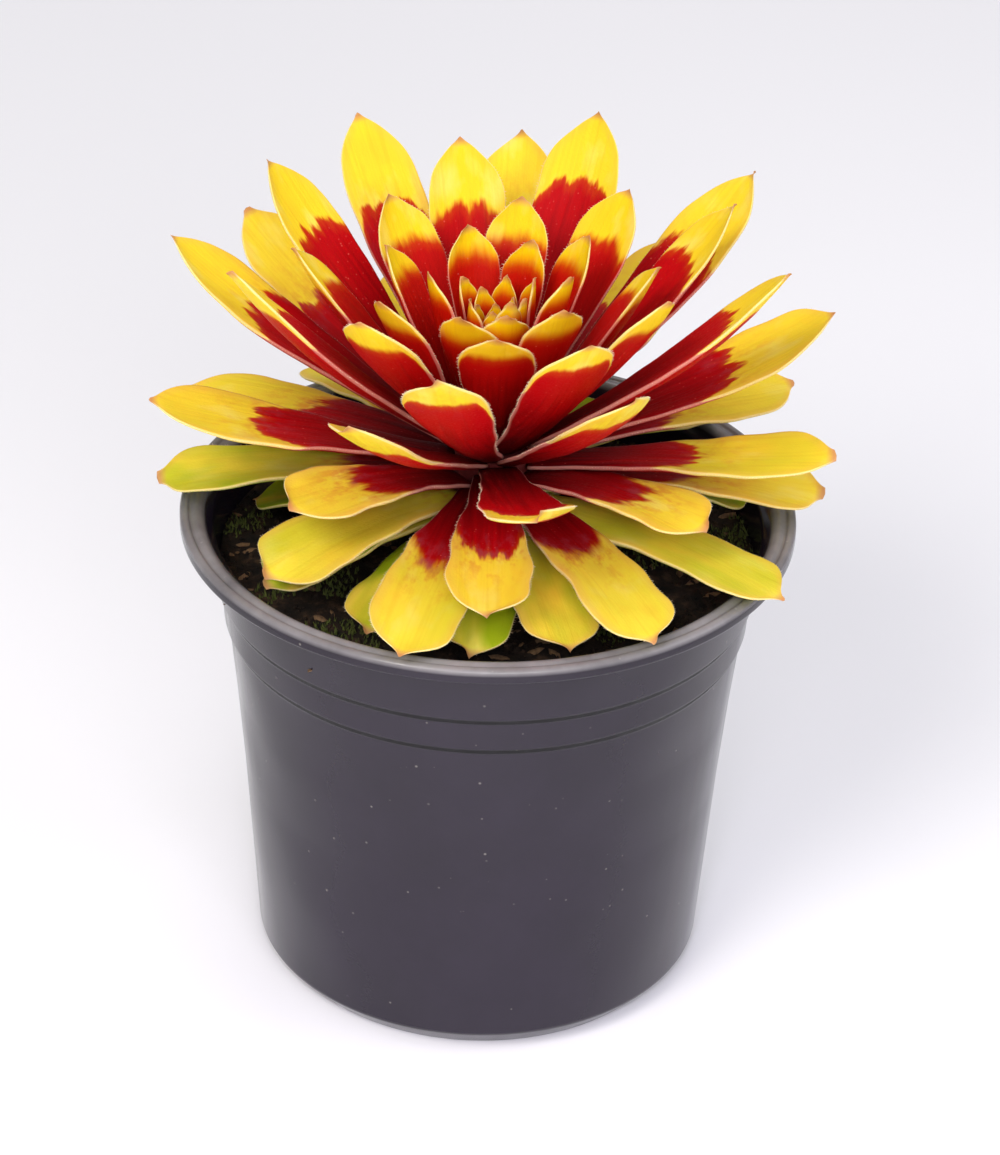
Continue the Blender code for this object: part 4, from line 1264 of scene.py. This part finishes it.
spot = add(rosette, "ShaderNodeVectorMath", {0: turned_out.outputs[0], 1: given["Middle"]}, operation="ADD")
moved = add(rosette, "GeometryNodeSetPosition", {"Geometry": spots.outputs[0], "Position": spot.outputs[0]})
one = add(rosette, "GeometryNodeObjectInfo", {"Object": given["Leaf"]})
placed = add(rosette, "GeometryNodeInstanceOnPoints", {
    "Points": moved.outputs[0], "Instance": one.outputs["Geometry"], "Rotation": angles.outputs[0],
    "Scale": size.outputs[0],
})
order = add(rosette, "GeometryNodeStoreNamedAttribute", {
    "Geometry": placed.outputs[0], "Name": "order", "Value": index}, data_type="FLOAT", domain="INSTANCE")
real = add(rosette, "GeometryNodeRealizeInstances", {"Geometry": order.outputs[0]})
own_order = add(rosette, "GeometryNodeInputNamedAttribute", {"Name": "order"}, data_type="FLOAT")
own_flesh = add(rosette, "GeometryNodeInputNamedAttribute", {"Name": "flesh"}, data_type="FLOAT_VECTOR")
shift = add(rosette, "ShaderNodeCombineXYZ", {2: own_order.outputs[0]})
apart = add(rosette, "ShaderNodeVectorMath", {0: own_flesh.outputs[0], 1: shift.outputs[0]}, operation="ADD")
kept = add(rosette, "GeometryNodeStoreNamedAttribute", {
    "Geometry": real.outputs[0], "Name": "flesh", "Value": apart.outputs[0],
}, data_type="FLOAT_VECTOR", domain="POINT")
painted_output(rosette, kept.outputs[0], given["Finish"])

# %% [markdown]
# Fifteen young leaves fill the space of the CAD's bud. The first stands in the middle, and each next one is a
# little larger, leans a little more and stands a little further out.

# %% Grow the heart
heart = cooked("heart_leaves", bpy.data.meshes.new("seed"), rosette, {
    "Leaf": pattern, "Leaves": 15, "Turn": -GOLDEN_ANGLE, "First Turn": FIRST_AZIMUTH - GOLDEN_ANGLE,
    "Smallest": 0.66, "Lean": 0.10, "Spread": 0.0026, "Middle": (PLANT_X, PLANT_Y, STEM_TOP_Z + GAP),
    "Finish": leaf_finish,
})
bpy.data.objects.remove(pattern)

# %% [markdown]
# ## The stem
# The stem is hardly seen: a short brown post with the scars of fallen leaves, and the oldest leaves still on it.
# They are one piece with it in the CAD, so they are joined to it here as well, with a finish each.
#
# The stem's corky skin is matt and brown, with the pale scars of fallen leaves round it, about 5 mm long and 1.5 mm
# high. Between the leaves it is still young and dark red like the leaf bases, so that nothing brown shows through
# between them.

# %% Stem material
YOUNG_BARK_Z = (0.101, 0.113)

cork, tree = start_material("corky stem skin")
place = add(tree, "ShaderNodeTexCoord").outputs["Object"]
rings_map = add(tree, "ShaderNodeMapping", {"Vector": place, "Scale": (200.0, 200.0, 700.0)})
scars = add(tree, "ShaderNodeTexNoise", {"Vector": rings_map.outputs["Vector"], "Scale": 1.0, "Detail": 4.0})
tone = add(tree, "ShaderNodeMix", {
    0: scars.outputs["Fac"], 6: colour("#33240f"), 7: colour("#9a8350")}, data_type="RGBA")
level = add(tree, "ShaderNodeSeparateXYZ", {0: place}).outputs["Z"]
fresh = add(tree, "ShaderNodeMapRange", {0: level, 1: YOUNG_BARK_Z[0], 2: YOUNG_BARK_Z[1]})
red_tone = add(tree, "ShaderNodeMix", {
    0: scars.outputs["Fac"], 6: colour("#3c0408"), 7: colour("#7c1a16")}, data_type="RGBA")
tone = add(tree, "ShaderNodeMix", {
    0: fresh.outputs[0], 6: tone.outputs[2], 7: red_tone.outputs[2]}, data_type="RGBA")
bump = add(tree, "ShaderNodeBump", {"Height": scars.outputs["Fac"], "Strength": 0.6, "Distance": 0.0006})
surface = add(tree, "ShaderNodeBsdfPrincipled", {
    "Base Color": tone.outputs[2], "Roughness": 0.75, "Normal": bump.outputs["Normal"],
})
add(tree, "ShaderNodeOutputMaterial", {"Surface": surface.outputs["BSDF"]})

# %% [markdown]
# The post is turned like the pot, and noise pushes its side in and out where leaves have grown. Its lower end stands
# in the socket of the soil.

# %% The post
STEM_SEGMENTS = 64
POST_ROUNDING = 0.0004

post = [(0.0, STEM_FOOT_Z), (STEM_RADIUS * 0.6, STEM_FOOT_Z), (STEM_RADIUS, STEM_FOOT_Z + 0.0055)]
post += [(STEM_RADIUS, z) for z in np.linspace(OPEN_GROUND_Z, STEM_SHOULDER_Z, 28)]
post += [(stem_radius(z), z) for z in np.linspace(STEM_SHOULDER_Z, STEM_TOP_Z, 8)[1:]]
post.append((0.0, STEM_TOP_Z))
stem = turned("stem_post", rounded(post, POST_ROUNDING), STEM_SEGMENTS, cork)
for vertex in stem.data.vertices:
    radius = math.hypot(vertex.co.x, vertex.co.y)
    if radius > 0.004:
        push = 1.0 + 0.035 * noise.noise(Vector((vertex.co.x * 220, vertex.co.y * 220, vertex.co.z * 500)))
        vertex.co.x *= push
        vertex.co.y *= push
    vertex.co.x += PLANT_X
    vertex.co.y += PLANT_Y
stem.data.shade_smooth()
print("post", len(stem.data.polygons), "faces")

# %% [markdown]
# The ten oldest leaves grow by the same laws as the rest, but their bases reach into the post. They are joined to it
# in one mesh with two material slots, the post's faces in the first and theirs in the second.

# %% The oldest leaves join the post
old = [leaf_object(f"old_leaf_{leaf.number}", leaf, leaf.place(), leaf_finish) for leaf in leaves[LEAVES:]]
joined = bmesh.new()
joined.from_mesh(stem.data)
for piece in old:
    before = len(joined.faces)
    joined.from_mesh(piece.data)
    joined.faces.ensure_lookup_table()
    for face in joined.faces[before:]:
        face.material_index = 1
joined.to_mesh(stem.data)
joined.free()
stem.data.materials.append(leaf_finish)
for piece in old:
    bpy.data.objects.remove(piece)
print("stem", len(stem.data.polygons), "faces")

# %% [markdown]
# ## Hairs along the margins
# Houseleek leaves carry a fringe of hairs along their margins, under a millimetre long. It is too fine to model
# by hand and too regular to leave out. The margins become curves, Geometry Nodes walk along each at an even
# spacing, and a tiny cone stands at every step, leaning outwards with some chance in it.
#
# The hairs are clear and colourless, and look pinkish white against the leaf. They are too thin to see through, so
# a pale, slightly uneven, half-matt surface gives the same look as real glassy hair would.

# %% Hair material
hair_finish, tree = start_material("clear leaf hair")
place = add(tree, "ShaderNodeTexCoord").outputs["Object"]
drift = add(tree, "ShaderNodeTexNoise", {"Vector": place, "Scale": 90.0, "Detail": 1.0})
tone = add(tree, "ShaderNodeMix", {
    0: drift.outputs["Fac"], 6: colour("#f3d3c0"), 7: colour("#fbf1cf")}, data_type="RGBA")
surface = add(tree, "ShaderNodeBsdfPrincipled", {"Base Color": tone.outputs[2], "Roughness": 0.5})
add(tree, "ShaderNodeOutputMaterial", {"Surface": surface.outputs["BSDF"]})

# %% [markdown]
# Each leaf's two margins are taken from its rings as chains of edges. They start a little above the base, which
# has no hairs, and stop short of the point. Every chain point keeps the direction outwards from the leaf's middle,
# for the hairs to lean in.

# %% The margins as lines
FIRST_HAIRY_RING = 8
BARE_RINGS_AT_TIP = 4

margin_points, margin_edges, outward = [], [], []
for leaf in leaves:
    points, _, _ = leaf_points(leaf)
    matrix = leaf.place()
    for side in (0, len(ACROSS) - 1):
        first = len(margin_points)
        for ring in range(FIRST_HAIRY_RING, len(STATIONS) - BARE_RINGS_AT_TIP):
            here, inner = Vector(points[ring, side]), Vector(points[ring, len(ACROSS) // 2])
            margin_points.append(matrix @ here)
            outward.append((matrix.to_3x3() @ (here - inner)).normalized())
        margin_edges += [(i, i + 1) for i in range(first, len(margin_points) - 1)]
margins = bpy.data.meshes.new("margins")
margins.from_pydata(margin_points, margin_edges, [])
layer = margins.attributes.new("outward", "FLOAT_VECTOR", "POINT")
layer.data.foreach_set("vector", np.array(outward, np.float32).ravel())
print("margin points", len(margin_points))

# %% [markdown]
# The fringe recipe turns the chains into curves, marks steps along them, and stands a cone with three sides and no
# base at each. The direction is the one that the points keep, plus a chance as large as "Untidiness" says.

# %% The fringe recipe
fringe, given = start_recipe("Fringe along lines", {
    "Spacing": ("NodeSocketFloat", 0.0006),
    "Hair Length": ("NodeSocketFloat", 0.0005),
    "Hair Radius": ("NodeSocketFloat", 0.00005),
    "Untidiness": ("NodeSocketFloat", 0.4),
    "Seed": ("NodeSocketInt", 5),
    "Finish": ("NodeSocketMaterial", None),
})
lines = add(fringe, "GeometryNodeMeshToCurve", {"Mesh": given["Geometry"]})
steps = add(fringe, "GeometryNodeResampleCurve", {
    "Curve": lines.outputs[0], "Length": given["Spacing"]}, mode="LENGTH")
aim = add(fringe, "GeometryNodeInputNamedAttribute", {"Name": "outward"}, data_type="FLOAT_VECTOR")
low = add(fringe, "ShaderNodeMath", {0: given["Untidiness"], 1: -1.0}, operation="MULTIPLY")
lows = add(fringe, "ShaderNodeCombineXYZ", {0: low.outputs[0], 1: low.outputs[0], 2: low.outputs[0]})
highs = add(fringe, "ShaderNodeCombineXYZ", {
    0: given["Untidiness"], 1: given["Untidiness"], 2: given["Untidiness"]})
chance_aim = add(fringe, "FunctionNodeRandomValue", {
    0: lows.outputs[0], 1: highs.outputs[0], "Seed": given["Seed"]}, data_type="FLOAT_VECTOR")
aimed = add(fringe, "ShaderNodeVectorMath", {0: aim.outputs[0], 1: chance_aim.outputs[0]}, operation="ADD")
turn = add(fringe, "FunctionNodeAlignRotationToVector", {"Vector": aimed.outputs[0]}, axis="Z")
hair = add(fringe, "GeometryNodeMeshCone", {
    "Vertices": 3, "Side Segments": 1, "Radius Top": 0.0, "Radius Bottom": given["Hair Radius"],
    "Depth": given["Hair Length"],
}, fill_type="NONE")
size = add(fringe, "FunctionNodeRandomValue", {2: 0.5, 3: 1.15, "Seed": given["Seed"]})
fringed = add(fringe, "GeometryNodeInstanceOnPoints", {
    "Points": steps.outputs[0], "Instance": hair.outputs[0], "Rotation": turn.outputs[0], "Scale": size.outputs[1],
})
finish_recipe(fringe, fringed.outputs["Instances"], given["Finish"])

# %% [markdown]
# The hairs are half a millimetre long and stand 0.65 mm apart. A real hair is a few hundredths of a millimetre thick,
# too thin to show in the render, so it is drawn about twice as thick, 0.12 mm at its foot.

# %% Set the fringe
hairs = cooked("margin_hairs", margins, fringe, {
    "Spacing": 0.00065, "Hair Length": 0.00050, "Hair Radius": 0.00006, "Untidiness": 0.45, "Seed": 5,
    "Finish": hair_finish,
})

# %% [markdown]
# ## Riding and handing over
# Each fine piece rides on the model's one body and takes the place of its CAD piece. The crumbs, chips, moss and
# hairs are pieces of their own that stand for nothing in the CAD, so they only ride.

# %% Ride
pairs = [(pot, "pot", "pot"), (soil, "soil", "soil"), (stem, "stem", "stem"), (heart, "heart", "heart")]
pairs += [(piece, f"leaf_{i + 1:02d}", "leaf") for i, piece in enumerate(fine_leaves)]
for piece, node, slot in pairs:
    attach(piece, "root")
    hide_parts(node)
for piece, slot in ((crumbs, "soil"), (chips, "soil"), (moss, "soil"), (hairs, "leaf")):
    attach(piece, "root")
